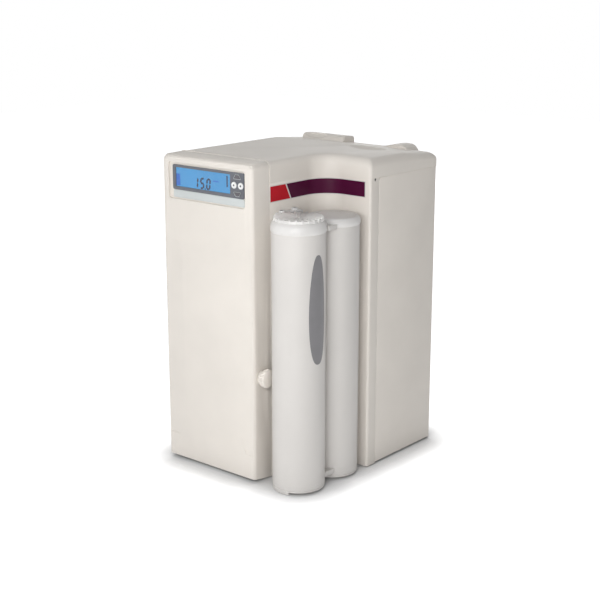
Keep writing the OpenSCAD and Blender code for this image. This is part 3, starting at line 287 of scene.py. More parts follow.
def tidy(piece):
    """Merge doubled corners and turn the faces outwards"""
    edit_all(piece)
    bpy.ops.mesh.remove_doubles(threshold=SAME_PLACE)
    bpy.ops.mesh.normals_make_consistent(inside=False)
    return close(piece)


def outline(name, points):
    """A flat face drawn corner by corner"""
    bpy.ops.object.select_all(action="DESELECT")
    bpy.ops.mesh.primitive_plane_add(size=MM, location=(0, 0, 0))
    piece = bpy.context.object
    piece.name = name
    edit_all(piece)
    bpy.ops.mesh.merge(type="CENTER")
    bpy.ops.transform.translate(value=tuple(points[0]))
    bpy.ops.mesh.select_mode(type="VERT")
    for before, after in zip(points, points[1:]):
        bpy.ops.mesh.extrude_vertices_move(TRANSFORM_OT_translate={"value": tuple(after - before)})
    bpy.ops.mesh.select_all(action="SELECT")
    bpy.ops.mesh.edge_face_add()
    return close(piece)


def prism(name, points, push):
    """A flat outline pushed out to a solid"""
    piece = outline(name, points)
    edit_all(piece)
    extrude(push)
    close(piece)
    return tidy(piece)


def loft(name, loops):
    """A closed body drawn through outlines that have the same number of corners"""
    piece = outline(name, loops[0])
    edit_all(piece)
    for before, after in zip(loops, loops[1:]):
        extrude((0, 0, 0))
        close(piece)
        for corner in [v for v in piece.data.vertices if v.select]:
            place = min(range(len(before)), key=lambda i: (before[i] - corner.co).length_squared)
            corner.co = after[place]
        bpy.ops.object.mode_set(mode="EDIT")
    close(piece)
    return tidy(piece)


def arc(centre, radius, start, end, steps=12):
    """Points along an arc in plan, in degrees"""
    turns = [math.radians(start + (end - start) * i / steps) for i in range(steps + 1)]
    return [(centre[0] + radius * math.cos(t), centre[1] + radius * math.sin(t)) for t in turns]


def slice_all(spot, turn):
    """Cut new edges across everything in the open piece, along a plane"""
    bpy.ops.mesh.select_all(action="SELECT")
    bpy.ops.mesh.bisect(plane_co=spot, plane_no=turn)


def modify(piece, kind, **settings):
    """Add a modifier to a piece and apply it"""
    choose(piece)
    made = piece.modifiers.new(kind.title(), kind)
    for key, value in settings.items():
        setattr(made, key, value)
    bpy.ops.object.modifier_apply(modifier=made.name)


def round_edges(piece, width, segments=3, angle=40):
    """Soften the sharp edges of a piece"""
    modify(piece, "BEVEL", width=width, segments=segments, limit_method="ANGLE",
           angle_limit=math.radians(angle), use_clamp_overlap=True, miter_outer="MITER_ARC")


def smooth(piece, angle=35):
    """Shade the round parts of a piece smooth"""
    choose(piece)
    bpy.ops.object.shade_smooth_by_angle(angle=math.radians(angle))


def settle(piece, body, slot, *nodes):
    """Give a piece its finish, its body and the solids that it stands for"""
    choose(piece)
    bpy.ops.object.transform_apply(location=True, rotation=True, scale=True)
    piece.data.materials.clear()
    piece.data.materials.append(FINISH[slot])
    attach(piece, body)
    if nodes:
        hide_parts(*nodes)
    return piece


def solid_copy(node, name):
    """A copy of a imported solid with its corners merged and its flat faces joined"""
    piece = bpy.data.objects.new(name, frame["nodes"][node].data.copy())
    bpy.context.scene.collection.objects.link(piece)
    edit_all(piece)
    bpy.ops.mesh.remove_doubles(threshold=SAME_PLACE)
    bpy.ops.mesh.dissolve_limited(angle_limit=math.radians(0.5))
    return close(piece)


def join(name, parts):
    """Join several parts to one piece"""
    choose(parts[0])
    for part in parts:
        part.select_set(True)
    bpy.ops.object.join()
    parts[0].name = name
    return parts[0]


def light(colour):
    """A seen colour as the amount of light"""
    return tuple(c / 12.92 if c <= 0.04045 else ((c + 0.055) / 1.055) ** 2.4 for c in colour)


def shade(colour, factor):
    """A colour made lighter or darker, with full cover"""
    return (*[min(1.0, c * factor) for c in colour], 1.0)


def start_finish(slot):
    """An empty finish with its shader"""
    made = bpy.data.materials.new("finish_" + slot)
    made.use_nodes = True
    FINISH[slot] = made
    return made.node_tree, made.node_tree.nodes["Principled BSDF"]


def placed(tree, stretch=(1, 1, 1)):
    """Places on the piece, stretched along its axes"""
    where = tree.nodes.new("ShaderNodeTexCoord")
    scale = tree.nodes.new("ShaderNodeMapping")
    scale.inputs["Scale"].default_value = stretch
    tree.links.new(where.outputs["Object"], scale.inputs["Vector"])
    return scale.outputs["Vector"]


def cloud(tree, size, detail=3.0, stretch=(1, 1, 1)):
    """Soft noise with patches of about the given size in metres"""
    noise = tree.nodes.new("ShaderNodeTexNoise")
    noise.inputs["Scale"].default_value = 1 / size
    noise.inputs["Detail"].default_value = detail
    tree.links.new(placed(tree, stretch), noise.inputs["Vector"])
    return noise.outputs["Fac"]


def stripes(tree, axis, pitch):
    """Even lines across one axis"""
    wave = tree.nodes.new("ShaderNodeTexWave")
    wave.bands_direction = axis
    wave.inputs["Scale"].default_value = 0.314 / pitch
    tree.links.new(placed(tree), wave.inputs["Vector"])
    return wave.outputs["Fac"]


def cells(tree, size, feature="F1"):
    """Round cells of about the given size in metres"""
    beads = tree.nodes.new("ShaderNodeTexVoronoi")
    beads.feature = feature
    beads.inputs["Scale"].default_value = 1 / size
    tree.links.new(placed(tree), beads.inputs["Vector"])
    return beads.outputs["Distance"]


def tint(tree, value, socket, low, high, start=0.3, end=0.7):
    """Blend between two colours by a pattern"""
    ramp = tree.nodes.new("ShaderNodeValToRGB")
    for element, place, colour in zip(ramp.color_ramp.elements, (start, end), (low, high)):
        element.position = place
        element.color = colour
    tree.links.new(value, ramp.inputs["Fac"])
    tree.links.new(ramp.outputs["Color"], socket)


def spread(tree, value, socket, low, high):
    """Run a number from low to high by a pattern"""
    reach = tree.nodes.new("ShaderNodeMapRange")
    reach.inputs["To Min"].default_value = low
    reach.inputs["To Max"].default_value = high
    tree.links.new(value, reach.inputs["Value"])
    tree.links.new(reach.outputs["Result"], socket)


def relief(tree, shader, value, depth, strength=0.5):
    """Raise the surface by a pattern"""
    bump = tree.nodes.new("ShaderNodeBump")
    bump.inputs["Strength"].default_value = strength
    bump.inputs["Distance"].default_value = depth
    tree.links.new(value, bump.inputs["Height"])
    tree.links.new(bump.outputs["Normal"], shader.inputs["Normal"])


def moulded(slot, colour, gloss=0.42, drift=0.025, patch=70 * MM, grain=0.9 * MM, depth=0.05 * MM,
            coat=0.0):
    """Plastic or rubber with a fine moulded grain and uneven gloss"""
    uneven = 0.06
    tree, shader = start_finish(slot)
    drifting = cloud(tree, patch)
    tint(tree, drifting, shader.inputs["Base Color"], shade(colour, 1 - drift), shade(colour, 1 + drift))
    spread(tree, cloud(tree, patch / 3), shader.inputs["Roughness"], gloss - uneven, gloss + uneven)
    relief(tree, shader, cloud(tree, grain, 2.0), depth, 0.35)
    shader.inputs["Coat Weight"].default_value = coat
    shader.inputs["Coat Roughness"].default_value = 0.12
    return tree, shader


def brushed(slot, colour, gloss=0.32, along=(1, 1, 14), drift=0.12):
    """Metal with fine lines along one direction"""
    tree, shader = start_finish(slot)
    shader.inputs["Metallic"].default_value = 1.0
    lines = cloud(tree, 3 * MM, 4.0, along)
    tint(tree, lines, shader.inputs["Base Color"], shade(colour, 1 - drift), shade(colour, 1 + drift))
    spread(tree, lines, shader.inputs["Roughness"], gloss - 0.08, gloss + 0.1)
    relief(tree, shader, lines, 0.03 * MM, 0.3)


def grey(level):
    """A neutral seen grey as light"""
    return light((level, level, level))


def film_finishes(colours):
    """Printed film of the coloured band and the oval label"""
    for slot, colour in (("tag_red", light(colours.red)), ("tag_purple", light(colours.purple))):
        tree, shader = moulded(slot, colour, 0.38, 0.08, 30 * MM, 1.4 * MM, 0.02 * MM)
        shader.inputs["Specular IOR Level"].default_value = 0.12
    tree, shader = start_finish("label_grey")
    base = light(colours.label)
    tint(tree, cloud(tree, 25 * MM), shader.inputs["Base Color"], shade(base, 0.95), shade(base, 1.05))
    spread(tree, cloud(tree, 6 * MM), shader.inputs["Roughness"], 0.3, 0.42)
    relief(tree, shader, cloud(tree, 1.1 * MM), 0.02 * MM, 0.3)


def display_finishes(colours):
    """Lit screen, dark figures and the clear window"""
    tree, shader = start_finish("screen_blue")
    base = light(colours.screen)
    grid = stripes(tree, "Z", 0.8 * MM)
    tint(tree, grid, shader.inputs["Base Color"], shade(base, 0.2), shade(base, 0.26))
    tint(tree, cloud(tree, 45 * MM), shader.inputs["Emission Color"], shade(base, 0.94), shade(base, 1.06))
    shader.inputs["Emission Strength"].default_value = colours.screen_glow
    spread(tree, grid, shader.inputs["Roughness"], 0.35, 0.45)
    relief(tree, shader, grid, 0.02 * MM, 0.2)
    tree, shader = start_finish("clear_plastic")
    tint(tree, cloud(tree, 30 * MM), shader.inputs["Base Color"], grey(0.9) + (1,), grey(0.94) + (1,))
    spread(tree, cloud(tree, 12 * MM), shader.inputs["Roughness"], 0.06, 0.12)
    relief(tree, shader, cloud(tree, 8 * MM), 0.01 * MM, 0.2)
    shader.inputs["Alpha"].default_value = 0.03
    shader.inputs["Specular IOR Level"].default_value = 0.15
    FINISH["clear_plastic"].surface_render_method = "BLENDED"
    for name, colour, glow in (
            ("figures", colours.figures, 0.0), ("screen_bar", colours.level_bar, colours.bar_glow)):
        tree, shader = start_finish(name)
        base = light(colour)
        tint(tree, cloud(tree, 4 * MM), shader.inputs["Base Color"], shade(base, 0.85), shade(base, 1.15))
        spread(tree, cloud(tree, 2 * MM), shader.inputs["Roughness"], 0.38, 0.5)
        shader.inputs["Emission Color"].default_value = (*base, 1)
        shader.inputs["Emission Strength"].default_value = glow


def board_finishes():
    """Green boards with their copper tracks, and wound or packed fillings"""
    tree, shader = start_finish("circuit_board")
    tracks = cells(tree, 7 * MM, "DISTANCE_TO_EDGE")
    tint(tree, tracks, shader.inputs["Base Color"], light((0.1, 0.38, 0.22)) + (1,),
         light((0.03, 0.24, 0.13)) + (1,), 0.05, 0.09)
    spread(tree, tracks, shader.inputs["Roughness"], 0.3, 0.45)
    relief(tree, shader, tracks, 0.05 * MM, 0.4)
    for slot, low, high, size, rough in (
            ("resin", (0.55, 0.33, 0.1), (0.83, 0.6, 0.26), 1.6 * MM, 0.3),
            ("carbon", (0.03, 0.03, 0.03), (0.15, 0.15, 0.15), 1.3 * MM, 0.8)):
        tree, shader = start_finish(slot)
        beads = cells(tree, size)
        tint(tree, beads, shader.inputs["Base Color"], light(high) + (1,), light(low) + (1,), 0.1, 0.7)
        spread(tree, beads, shader.inputs["Roughness"], rough - 0.1, rough + 0.1)
        relief(tree, shader, beads, 0.4 * MM, 0.7)
    tree, shader = start_finish("membrane")
    wraps = stripes(tree, "Z", 2.4 * MM)
    tint(tree, wraps, shader.inputs["Base Color"], light((0.72, 0.76, 0.78)) + (1,),
         light((0.9, 0.91, 0.9)) + (1,))
    spread(tree, wraps, shader.inputs["Roughness"], 0.4, 0.6)
    relief(tree, shader, wraps, 0.25 * MM, 0.6)


def metal_finishes():
    """Zinc, aluminium and steel"""
    brushed("zinc_steel", light((0.72, 0.73, 0.72)), 0.42, (1, 6, 1), 0.16)
    brushed("plate_aluminium", light((0.8, 0.81, 0.82)), 0.34, (1, 12, 1))
    brushed("rotor_steel", light((0.7, 0.7, 0.71)), 0.26, (1, 10, 1))
    brushed("switch_metal", light((0.76, 0.75, 0.72)), 0.3)


class PURIFIER_OT_finishes(bpy.types.Operator):
    """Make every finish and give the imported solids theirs"""

    bl_idname = "purifier.finishes"
    bl_label = "Finishes"

    def execute(self, context):
        colours = context.scene.purifier_colours
        moulded("case_plastic", light(colours.case), 0.48)
        moulded("pack_white", light(colours.pack), 0.4, 0.02, 90 * MM)
        moulded("cap_white", light(colours.caps), 0.36, 0.02, 40 * MM)
        moulded("cylinder_white", grey(0.88), 0.35)
        moulded("socket_white", grey(0.86), 0.4)
        moulded("key_white", grey(0.93), 0.35, 0.015, 8 * MM)
        moulded("bezel_plastic", light(colours.bezel), 0.34, 0.06, 25 * MM, 0.8 * MM, 0.04 * MM, 0.2)
        moulded("key_dark", light((0.33, 0.32, 0.34)), 0.4, 0.08, 9 * MM)
        moulded("band_plastic", light((0.79, 0.81, 0.81)), 0.4, 0.02, 30 * MM)
        moulded("foot_rubber", grey(0.13), 0.8, 0.15, 9 * MM, 0.7 * MM, 0.1 * MM)
        moulded("seal_rubber", grey(0.1), 0.6, 0.15, 6 * MM, 0.7 * MM, 0.06 * MM)
        moulded("inlet_black", grey(0.09), 0.45, 0.12, 12 * MM)
        moulded("pump_black", grey(0.12), 0.5, 0.12, 18 * MM)
        moulded("coil_dark", grey(0.16), 0.4, 0.15, 14 * MM)
        moulded("clip_grey", grey(0.52), 0.5, 0.06, 14 * MM)
        moulded("motor_paint", light((0.3, 0.34, 0.4)), 0.32, 0.08, 25 * MM)
        moulded("hose_blue", light((0.35, 0.6, 0.82)), 0.3, 0.08, 22 * MM, 1.2 * MM, 0.03 * MM, 0.3)
        moulded("cell_amber", light((0.8, 0.62, 0.35)), 0.35, 0.1, 16 * MM)
        film_finishes(colours)
        display_finishes(colours)
        board_finishes()
        metal_finishes()
        for node, piece in frame["nodes"].items():
            piece.data.materials.clear()
            piece.data.materials.append(FINISH[SLOT_OF[node]])
        return {"FINISHED"}


def ball_corners(piece):
    """Round the two upper front corners of the cover to a ball"""
    radii = Vector((8 * MM, 7.5 * MM, 8.5 * MM))
    crown = 1.4 * MM
    cuts = 4
    top = COVER_HIGH.z - crown
    for middle_x, side in ((LEFT + radii.x, -1), (COLUMN - radii.x, 1)):
        middle = Vector((middle_x, FRONT + radii.y, top - radii.z))
        edit_all(piece)
        for step in range(cuts):
            share = step / cuts
            for axis, place in ((0, middle.x + side * radii.x * share), (1, middle.y - radii.y * share),
                                (2, middle.z + radii.z * share)):
                spot, turn = [0, 0, 0], [0, 0, 0]
                spot[axis], turn[axis] = place, 1
                slice_all(spot, turn)
        close(piece)
        for corner in piece.data.vertices:
            off = corner.co - middle
            if off.x * side < 0 or off.y > 0 or off.z < 0:
                continue
            reach = Vector((off.x / radii.x, off.y / radii.y, off.z / radii.z))
            if reach.length > 1:
                reach.normalize()
                corner.co = middle + Vector((reach.x * radii.x, reach.y * radii.y, reach.z * radii.z))


class PURIFIER_OT_shells(bpy.types.Operator):
    """Give the visible mouldings their rounded edges"""

    bl_idname = "purifier.shells"
    bl_label = "Soft mouldings"

    def execute(self, context):
        for node, width in SOFT_EDGES.items():
            piece = solid_copy(node, node + "_soft")
            if node == "front_cover":
                ball_corners(piece)
            round_edges(piece, width * MM)
            smooth(piece, angle=40)
            settle(piece, BODY_OF[node], SLOT_OF[node], node)
        return {"FINISHED"}


def lid_path(sizes, near, far, corner, front):
    """Plan of the lid from its front right corner round the rear to its front left corner

    near is how far the column's sides are drawn in, and far the sides of the right-hand block.
    Each point has its place and its share of the block's larger rounding.
    """
    middle = (COLUMN + sizes.bay_radius, BAY - sizes.bay_radius)
    points = [(COLUMN - near, front, 0.0)]
    steps, corner_steps = 20, 8
    for step in range(steps + 1):
        turn = math.radians(180 - 90 * step / steps)
        points.append((middle[0] + (sizes.bay_radius + near) * math.cos(turn),
                       middle[1] + (sizes.bay_radius + far) * math.sin(turn), step / steps))
    right = SIDE - far - corner
    points += [(x, y, 1.0) for x, y in arc((right, BAY + far + corner), corner, -90, 0, corner_steps)]
    points += [(x, y, 1.0) for x, y in arc((right, REAR - far - corner), corner, 0, 90, corner_steps)]
    left = LEFT + near + corner
    points += [(x, y, 0.0) for x, y in arc((left, REAR - near - corner), corner, 90, 180, corner_steps)]
    points.append((LEFT + near, front, 0.0))
    return points


def lid_drop(sizes, x, y):
    """How far the lid's top lies below its highest level at a place"""
    back = max(0.0, (y - (REAR - sizes.slope_len)) / sizes.slope_len)
    across = max(0.0, (x - COLUMN) / (SIDE - COLUMN))
    return sizes.lid_fall * min(back, 1.0) + sizes.side_fall * min(across, 1.0) ** 1.5


class PURIFIER_OT_lid(bpy.types.Operator):
    """Lid with rounded edges, a sloping rear, a grip lip, a hump and a finger dish"""

    bl_idname = "purifier.lid"
    bl_label = "Lid"

    def outer(self, sizes):
        """Solid lid with its rounding and slopes, before the grips are added"""
        steps = 8
        least_corner = 3 * MM
        corner_shrink = 0.45
        slope_cuts, slope_pitch = 9, 10 * MM
        side_cuts, side_pitch = 6, 16 * MM
        loops = []
        for step in range(-1, steps + 1):
            turn = math.radians(90 * max(step, 0) / steps)
            inward = 1 - math.cos(turn)
            near = sizes.lid_rounding * inward - sizes.lid_over
            far = sizes.block_rounding * inward - sizes.lid_over
            corner = max(least_corner, sizes.lid_corner - corner_shrink * (far + sizes.lid_over))
            loop = []
            for x, y, share in lid_path(sizes, near, far, corner, LID_LOW.y):
                radius = sizes.lid_rounding + (sizes.block_rounding - sizes.lid_rounding) * share
                z = SEAM if step < 0 else TOP - radius * (1 - math.sin(turn))
                loop.append(Vector((x, y, z)))
            loops.append(loop)
        piece = loft("lid_soft", loops)
        edit_all(piece)
        for step in range(slope_cuts):
            slice_all((0, REAR - sizes.slope_len + step * slope_pitch, 0), (0, 1, 0))
        for step in range(side_cuts):
            slice_all((COLUMN + step * side_pitch, 0, 0), (1, 0, 0))
        close(piece)
        for corner in piece.data.vertices:
            share = (corner.co.z - SEAM) / (TOP - SEAM)
            corner.co.z -= lid_drop(sizes, corner.co.x, corner.co.y) * share
        return piece

    def hollow(self, sizes):
        """Body that hollows out the underside"""
        inner_corner = 6 * MM
        below = 5 * MM
        roof = 7 * MM
        inset = sizes.lid_wall - sizes.lid_over
        points = lid_path(sizes, inset, inset, inner_corner, LID_LOW.y + sizes.lid_wall)
        base = SEAM - below
        top = TOP - sizes.lid_fall - sizes.side_fall - roof
        return prism("lid_hollow", [Vector((x, y, base)) for x, y, share in points], (0, 0, top - base))

    def rim(self, sizes):
        """Locating rim that drops inside the walls"""
        outside, outside_corner = 3.4 * MM, 2 * MM
        inside, inside_corner = 5.4 * MM, 1 * MM
        root = 6 * MM
        outer = lid_path(sizes, outside, outside, outside_corner, LID_LOW.y)
        inner = lid_path(sizes, inside, inside, inside_corner, LID_LOW.y)
        points = [Vector((x, y, LID_LOW.z)) for x, y, share in outer + inner[::-1]]
        top = TOP - sizes.lid_fall - sizes.side_fall - root
        return prism("lid_rim", points, (0, 0, top - LID_LOW.z))

    def lip(self, sizes):
        """Grip lip along the rear edge"""
        low, high = LEFT + 22 * MM, LEFT + 113 * MM
        top = LID_HIGH.z
        front, rear = REAR - 36 * MM, GRIP_REAR
        sink = TOP - sizes.lid_fall - GRIP_ROOT
        side = [(front, sink), (front + 2 * MM, top - 9 * MM), (front + 5 * MM, top - 3 * MM),
                (front + 8 * MM, top - 0.6 * MM), (front + 12 * MM, top), (rear - 4 * MM, top - 1.2 * MM),
                (rear - 1 * MM, top - 2.6 * MM), (rear, top - 6 * MM), (rear, sink)]
        piece = prism("grip_lip", [Vector((low, y, z)) for y, z in side], (high - low, 0, 0))
        round_edges(piece, 2.4 * MM, segments=4, angle=50)
        return piece

    def hump(self, sizes):
        """Rounded hump at the right-hand end of the grip"""
        front, rear = REAR - 34 * MM, GRIP_REAR
        top = LID_HIGH.z
        sink = TOP - sizes.lid_fall - sizes.side_fall - GRIP_ROOT
        heights = ((-14, 12.6), (-6, 11.4), (4, 9.6), (14, 7.0), (22, 4.9), (30, 3.7),
                   (38, 3.3), (44, 3.7), (49, 5.0), (53, 7.6), (56, 11.0), (58, 14.0))
        side = [(heights[0][0] * MM, sink)]
        side += [(x * MM, top - drop * MM) for x, drop in heights]
        side.append((heights[-1][0] * MM, sink))
        points = [Vector((COLUMN + x, front, z)) for x, z in side]
        piece = prism("grip_hump", points, (0, rear - front, 0))
        round_edges(piece, 3 * MM, segments=4, angle=50)
        return piece

    def dish(self, name, place, radii):
        """Rounded body that hollows out a finger dish, with its radii in millimetres"""
        bpy.ops.object.select_all(action="DESELECT")
        bpy.ops.mesh.primitive_uv_sphere_add(segments=64, ring_count=32, radius=1, location=place)
        piece = bpy.context.object
        piece.name = name
        piece.scale = [radius * MM for radius in radii]
        bpy.ops.object.transform_apply(location=True, rotation=True, scale=True)
        return piece

    def execute(self, context):
        sizes = context.scene.purifier_case
        piece = self.outer(sizes)
        top = LID_HIGH.z
        grip = (LEFT + 53 * MM, REAR - 33 * MM, top + 0.5 * MM)
        grip_radii = (25, 11, 8)
        dip = (LEFT + 205 * MM, FRONT + 260 * MM)
        dip_rise = 7 * MM
        dip_radii = (44, 27, 13)
        dip_height = TOP - lid_drop(sizes, *dip) + dip_rise
        tools = (
            (self.hollow(sizes), "DIFFERENCE"),
            (self.lip(sizes), "UNION"),
            (self.hump(sizes), "UNION"),
            (self.rim(sizes), "UNION"),
            (self.dish("lip_hollow", grip, grip_radii), "DIFFERENCE"),
            (self.dish("finger_dish", (*dip, dip_height), dip_radii), "DIFFERENCE"),
        )
        for tool, action in tools:
            modify(piece, "BOOLEAN", object=tool, operation=action, solver="EXACT")
            bpy.data.objects.remove(tool)
        highest = max(corner.co.z for corner in piece.data.vertices)
        if abs(highest - top) > MM:
            raise RuntimeError("the lid lost its grip lip")
        smooth(piece, angle=32)
        settle(piece, "lid", "case_plastic", "lid")
        return {"FINISHED"}


class PURIFIER_OT_bead(bpy.types.Operator):
    """Light bead between the front cover and the lid"""

    bl_idname = "purifier.bead"
    bl_label = "Seam bead"

    def execute(self, context):
        sizes = context.scene.purifier_case
        radius = sizes.bead_radius
        turn = sizes.lid_rounding
        rise, sunk_share = 0.25 * MM, 0.3
        behind = 0.2 * MM
        fade, steps = 20, 10
        left, right = LEFT - sizes.lid_over + radius, COLUMN + sizes.lid_over - radius
        top = COVER_HIGH.z + rise - radius * sunk_share
        path = arc((left + turn, top - turn), turn, 180 - fade, 90, steps)
        path += arc((right - turn, top - turn), turn, 90, fade, steps)
        bpy.ops.object.select_all(action="DESELECT")
        bpy.ops.curve.primitive_nurbs_path_add()
        piece = bpy.context.object
        piece.name = "seam_bead"
        curve = piece.data
        curve.splines.clear()
        line = curve.splines.new("POLY")
        line.points.add(len(path) - 1)
        for point, (x, z) in zip(line.points, path):
            point.co = (x, LID_LOW.y + behind, z, 1)
        curve.dimensions = "3D"
        curve.bevel_depth = radius
        curve.bevel_resolution = 4
        curve.use_fill_caps = True
        choose(piece)
        bpy.ops.object.convert(target="MESH")
        piece = bpy.context.object
        tidy(piece)
        smooth(piece, angle=50)
        settle(piece, "lid", "case_plastic")
        return {"FINISHED"}


class PURIFIER_OT_stop(bpy.types.Operator):
    """Dark stop at the top of the strip beside the right-hand panel"""

    bl_idname = "purifier.stop"
    bl_label = "Corner stop"

    def execute(self, context):
        x, y, z = SIDE - 1.6 * MM, BAY + 9.2 * MM, SEAM - 0.3 * MM
        height, thickness, edge = 4.4 * MM, 1.8 * MM, 0.3 * MM
        points = [Vector((x, y, z)), Vector((x, y + 1.2 * MM, z - height)),
                  Vector((x, y + 2.8 * MM, z - height)), Vector((x, y + 4.2 * MM, z))]
        piece = prism("corner_stop", points, (thickness, 0, 0))
        round_edges(piece, edge, segments=2)
        smooth(piece)
        settle(piece, "case", "seal_rubber")
        return {"FINISHED"}


class PURIFIER_OT_band(bpy.types.Operator):
    """Pale backing that shows as a border around the coloured band"""

    bl_idname = "purifier.band"
    bl_label = "Band border"

    def wall_path(self, sizes, lift, start, end):
        """Plan of the bay wall from a place on the column to one on the rear wall"""
        turn = sizes.bay_radius - lift
        column, bay = COLUMN + lift, BAY - lift
        points = [(column, start)]
        points += arc((column + turn, bay - turn), turn, 180, 90, 28)
        points.append((end, bay))
        return points

    def execute(self, context):
        sizes = context.scene.purifier_case
        border = sizes.tag_border
        thickness = 0.22 * MM
        start, end = RED_LOW.y - border, PURPLE_HIGH.x + border
        outer = self.wall_path(sizes, thickness, start, end)
        inner = self.wall_path(sizes, 0.0, start, end)
        base = PURPLE_LOW.z - border
        points = [Vector((x, y, base)) for x, y in outer + inner[::-1]]
        piece = prism("band_backing", points, (0, 0, PURPLE_HIGH.z - PURPLE_LOW.z + 2 * border))
        smooth(piece)
        settle(piece, "case", "pack_white")
        return {"FINISHED"}


SEGMENTS = {
    "a": ((0, 1), (1, 1)), "b": ((1, 1), (1, 0.5)), "c": ((1, 0.5), (1, 0)), "d": ((0, 0), (1, 0)),
    "e": ((0, 0.5), (0, 0)), "f": ((0, 1), (0, 0.5)), "g": ((0, 0.5), (1, 0.5)),
}
FIGURES = {"1": "bc", "5": "afgcd", "0": "abcdef"}


class PURIFIER_OT_display(bpy.types.Operator):
    """Figures and marks on the lit screen"""

    bl_idname = "purifier.display"
    bl_label = "Display"

    def mark(self, corners):
        """Thin printed mark on the screen, from corners in width and height"""
        gap, thickness = 0.02 * MM, 0.1 * MM
        points = [Vector((x, SCREEN_LOW.y - gap, z)) for x, z in corners]
        return prism("mark", points, (0, -thickness, 0))

    def segment(self, sizes, start, end, origin):
        """One bar of a figure with pointed ends"""
        half = sizes.stroke / 2
        wide, tall = sizes.digit_width - sizes.stroke, sizes.digit_height - sizes.stroke
        a = Vector((half + start[0] * wide, half + start[1] * tall))
        b = Vector((half + end[0] * wide, half + end[1] * tall))
        along = (b - a).normalized()
        across = Vector((-along.y, along.x)) * half
        gap = along * 0.12 * MM
        tip = along * half
        corners = [a + gap, a + gap + tip + across, b - gap - tip + across, b - gap,
                   b - gap - tip - across, a + gap + tip - across]
        lean = math.tan(sizes.slant)
        return self.mark([(origin[0] + c.x + c.y * lean, origin[1] + c.y) for c in corners])

    def rectangle(self, x0, z0, x1, z1):
        """Upright mark with square corners"""
        return self.mark([(x0, z0), (x1, z0), (x1, z1), (x0, z1)])

    def execute(self, context):
        sizes = context.scene.purifier_display
        x0, z0 = WINDOW_LOW.x, WINDOW_LOW.z
        parts = []
        start, foot = x0 + 37.0 * MM, z0 + 0.5 * MM
        origin = [start, foot]
        for figure in "150":
            for name in FIGURES[figure]:
                parts.append(self.segment(sizes, *SEGMENTS[name], origin))
            origin[0] += sizes.digit_pitch
        dot_back, dot_width, dot_top = 2.2 * MM, 1.9 * MM, 2.8 * MM
        dot = start + 2 * sizes.digit_pitch - dot_back
        parts.append(self.rectangle(dot, foot, dot + dot_width, z0 + dot_top))
        right_bar = (WINDOW_HIGH.x - 8 * MM, z0 + 9.4 * MM, WINDOW_HIGH.x - 5.4 * MM, z0 + 26.4 * MM)
        parts.append(self.rectangle(*right_bar))
        figures = join("screen_figures", parts)
        settle(figures, "case", "screen_blue")
        figures.data.materials[0] = FINISH["figures"]
        left_bar = (x0 + 0.3 * MM, z0 + 1.4 * MM, x0 + 8.6 * MM, z0 + 19.5 * MM)
        dash = (x0 + 78.5 * MM, z0 + 14.6 * MM, x0 + 90.5 * MM, z0 + 16.4 * MM)
        bar = join("screen_level_bar", [self.rectangle(*left_bar), self.rectangle(*dash)])
        settle(bar, "case", "screen_blue")
        bar.data.materials[0] = FINISH["screen_bar"]
        return {"FINISHED"}


class PURIFIER_OT_keys(bpy.types.Operator):
    """Dark centres of the round keys and light outlines of the shaped keys"""

    bl_idname = "purifier.keys"
    bl_label = "Keys"

    def centre(self, node):
        """Dished dark button in the middle of a round key"""
        low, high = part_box(node)
        middle = (low + high) / 2
        radius, depth, sunk = 1.5 * MM, 0.5 * MM, 0.1 * MM
        rim, dish = 0.4 * MM, 0.12 * MM
        bpy.ops.object.select_all(action="DESELECT")
        bpy.ops.mesh.primitive_cylinder_add(
            vertices=40, radius=radius, depth=depth,
            location=(middle.x, low.y + sunk, middle.z), rotation=(math.pi / 2, 0, 0))
        piece = bpy.context.object
        piece.name = node + "_centre"
        bpy.ops.object.transform_apply(location=True, rotation=True, scale=True)
        pick(piece, "FACE", lambda face: face.normal.y < -0.9)
        bpy.ops.mesh.inset(thickness=rim)
        bpy.ops.transform.translate(value=(0, dish, 0))
        close(piece)
        smooth(piece)
        settle(piece, BODY_OF[node], "key_dark")

    def edge(self, node):
        """Thin light frame on the face of a shaped key"""
        face_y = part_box(node)[0].y
        margin, line, rise = 0.45 * MM, 0.4 * MM, 0.12 * MM
        piece = solid_copy(node, node + "_outline")

        def behind(face):
            return face.normal.y > -0.9 or abs(face.center.y - face_y) > 0.05 * MM

        pick(piece, "FACE", behind)
        bpy.ops.mesh.delete(type="FACE")
        bpy.ops.mesh.select_all(action="SELECT")
        bpy.ops.mesh.inset(thickness=margin)
        bpy.ops.mesh.select_all(action="SELECT")
        bpy.ops.mesh.inset(thickness=line)
        bpy.ops.mesh.delete(type="FACE")
        close(piece)
        edit_all(piece)
        extrude((0, -rise, 0))
        close(piece)
        tidy(piece)
        settle(piece, BODY_OF[node], "band_plastic")

    def execute(self, context):
        for node in ("key_left", "key_right"):
            self.centre(node)
        for node in ("key_up", "key_down"):
            self.edge(node)
        return {"FINISHED"}


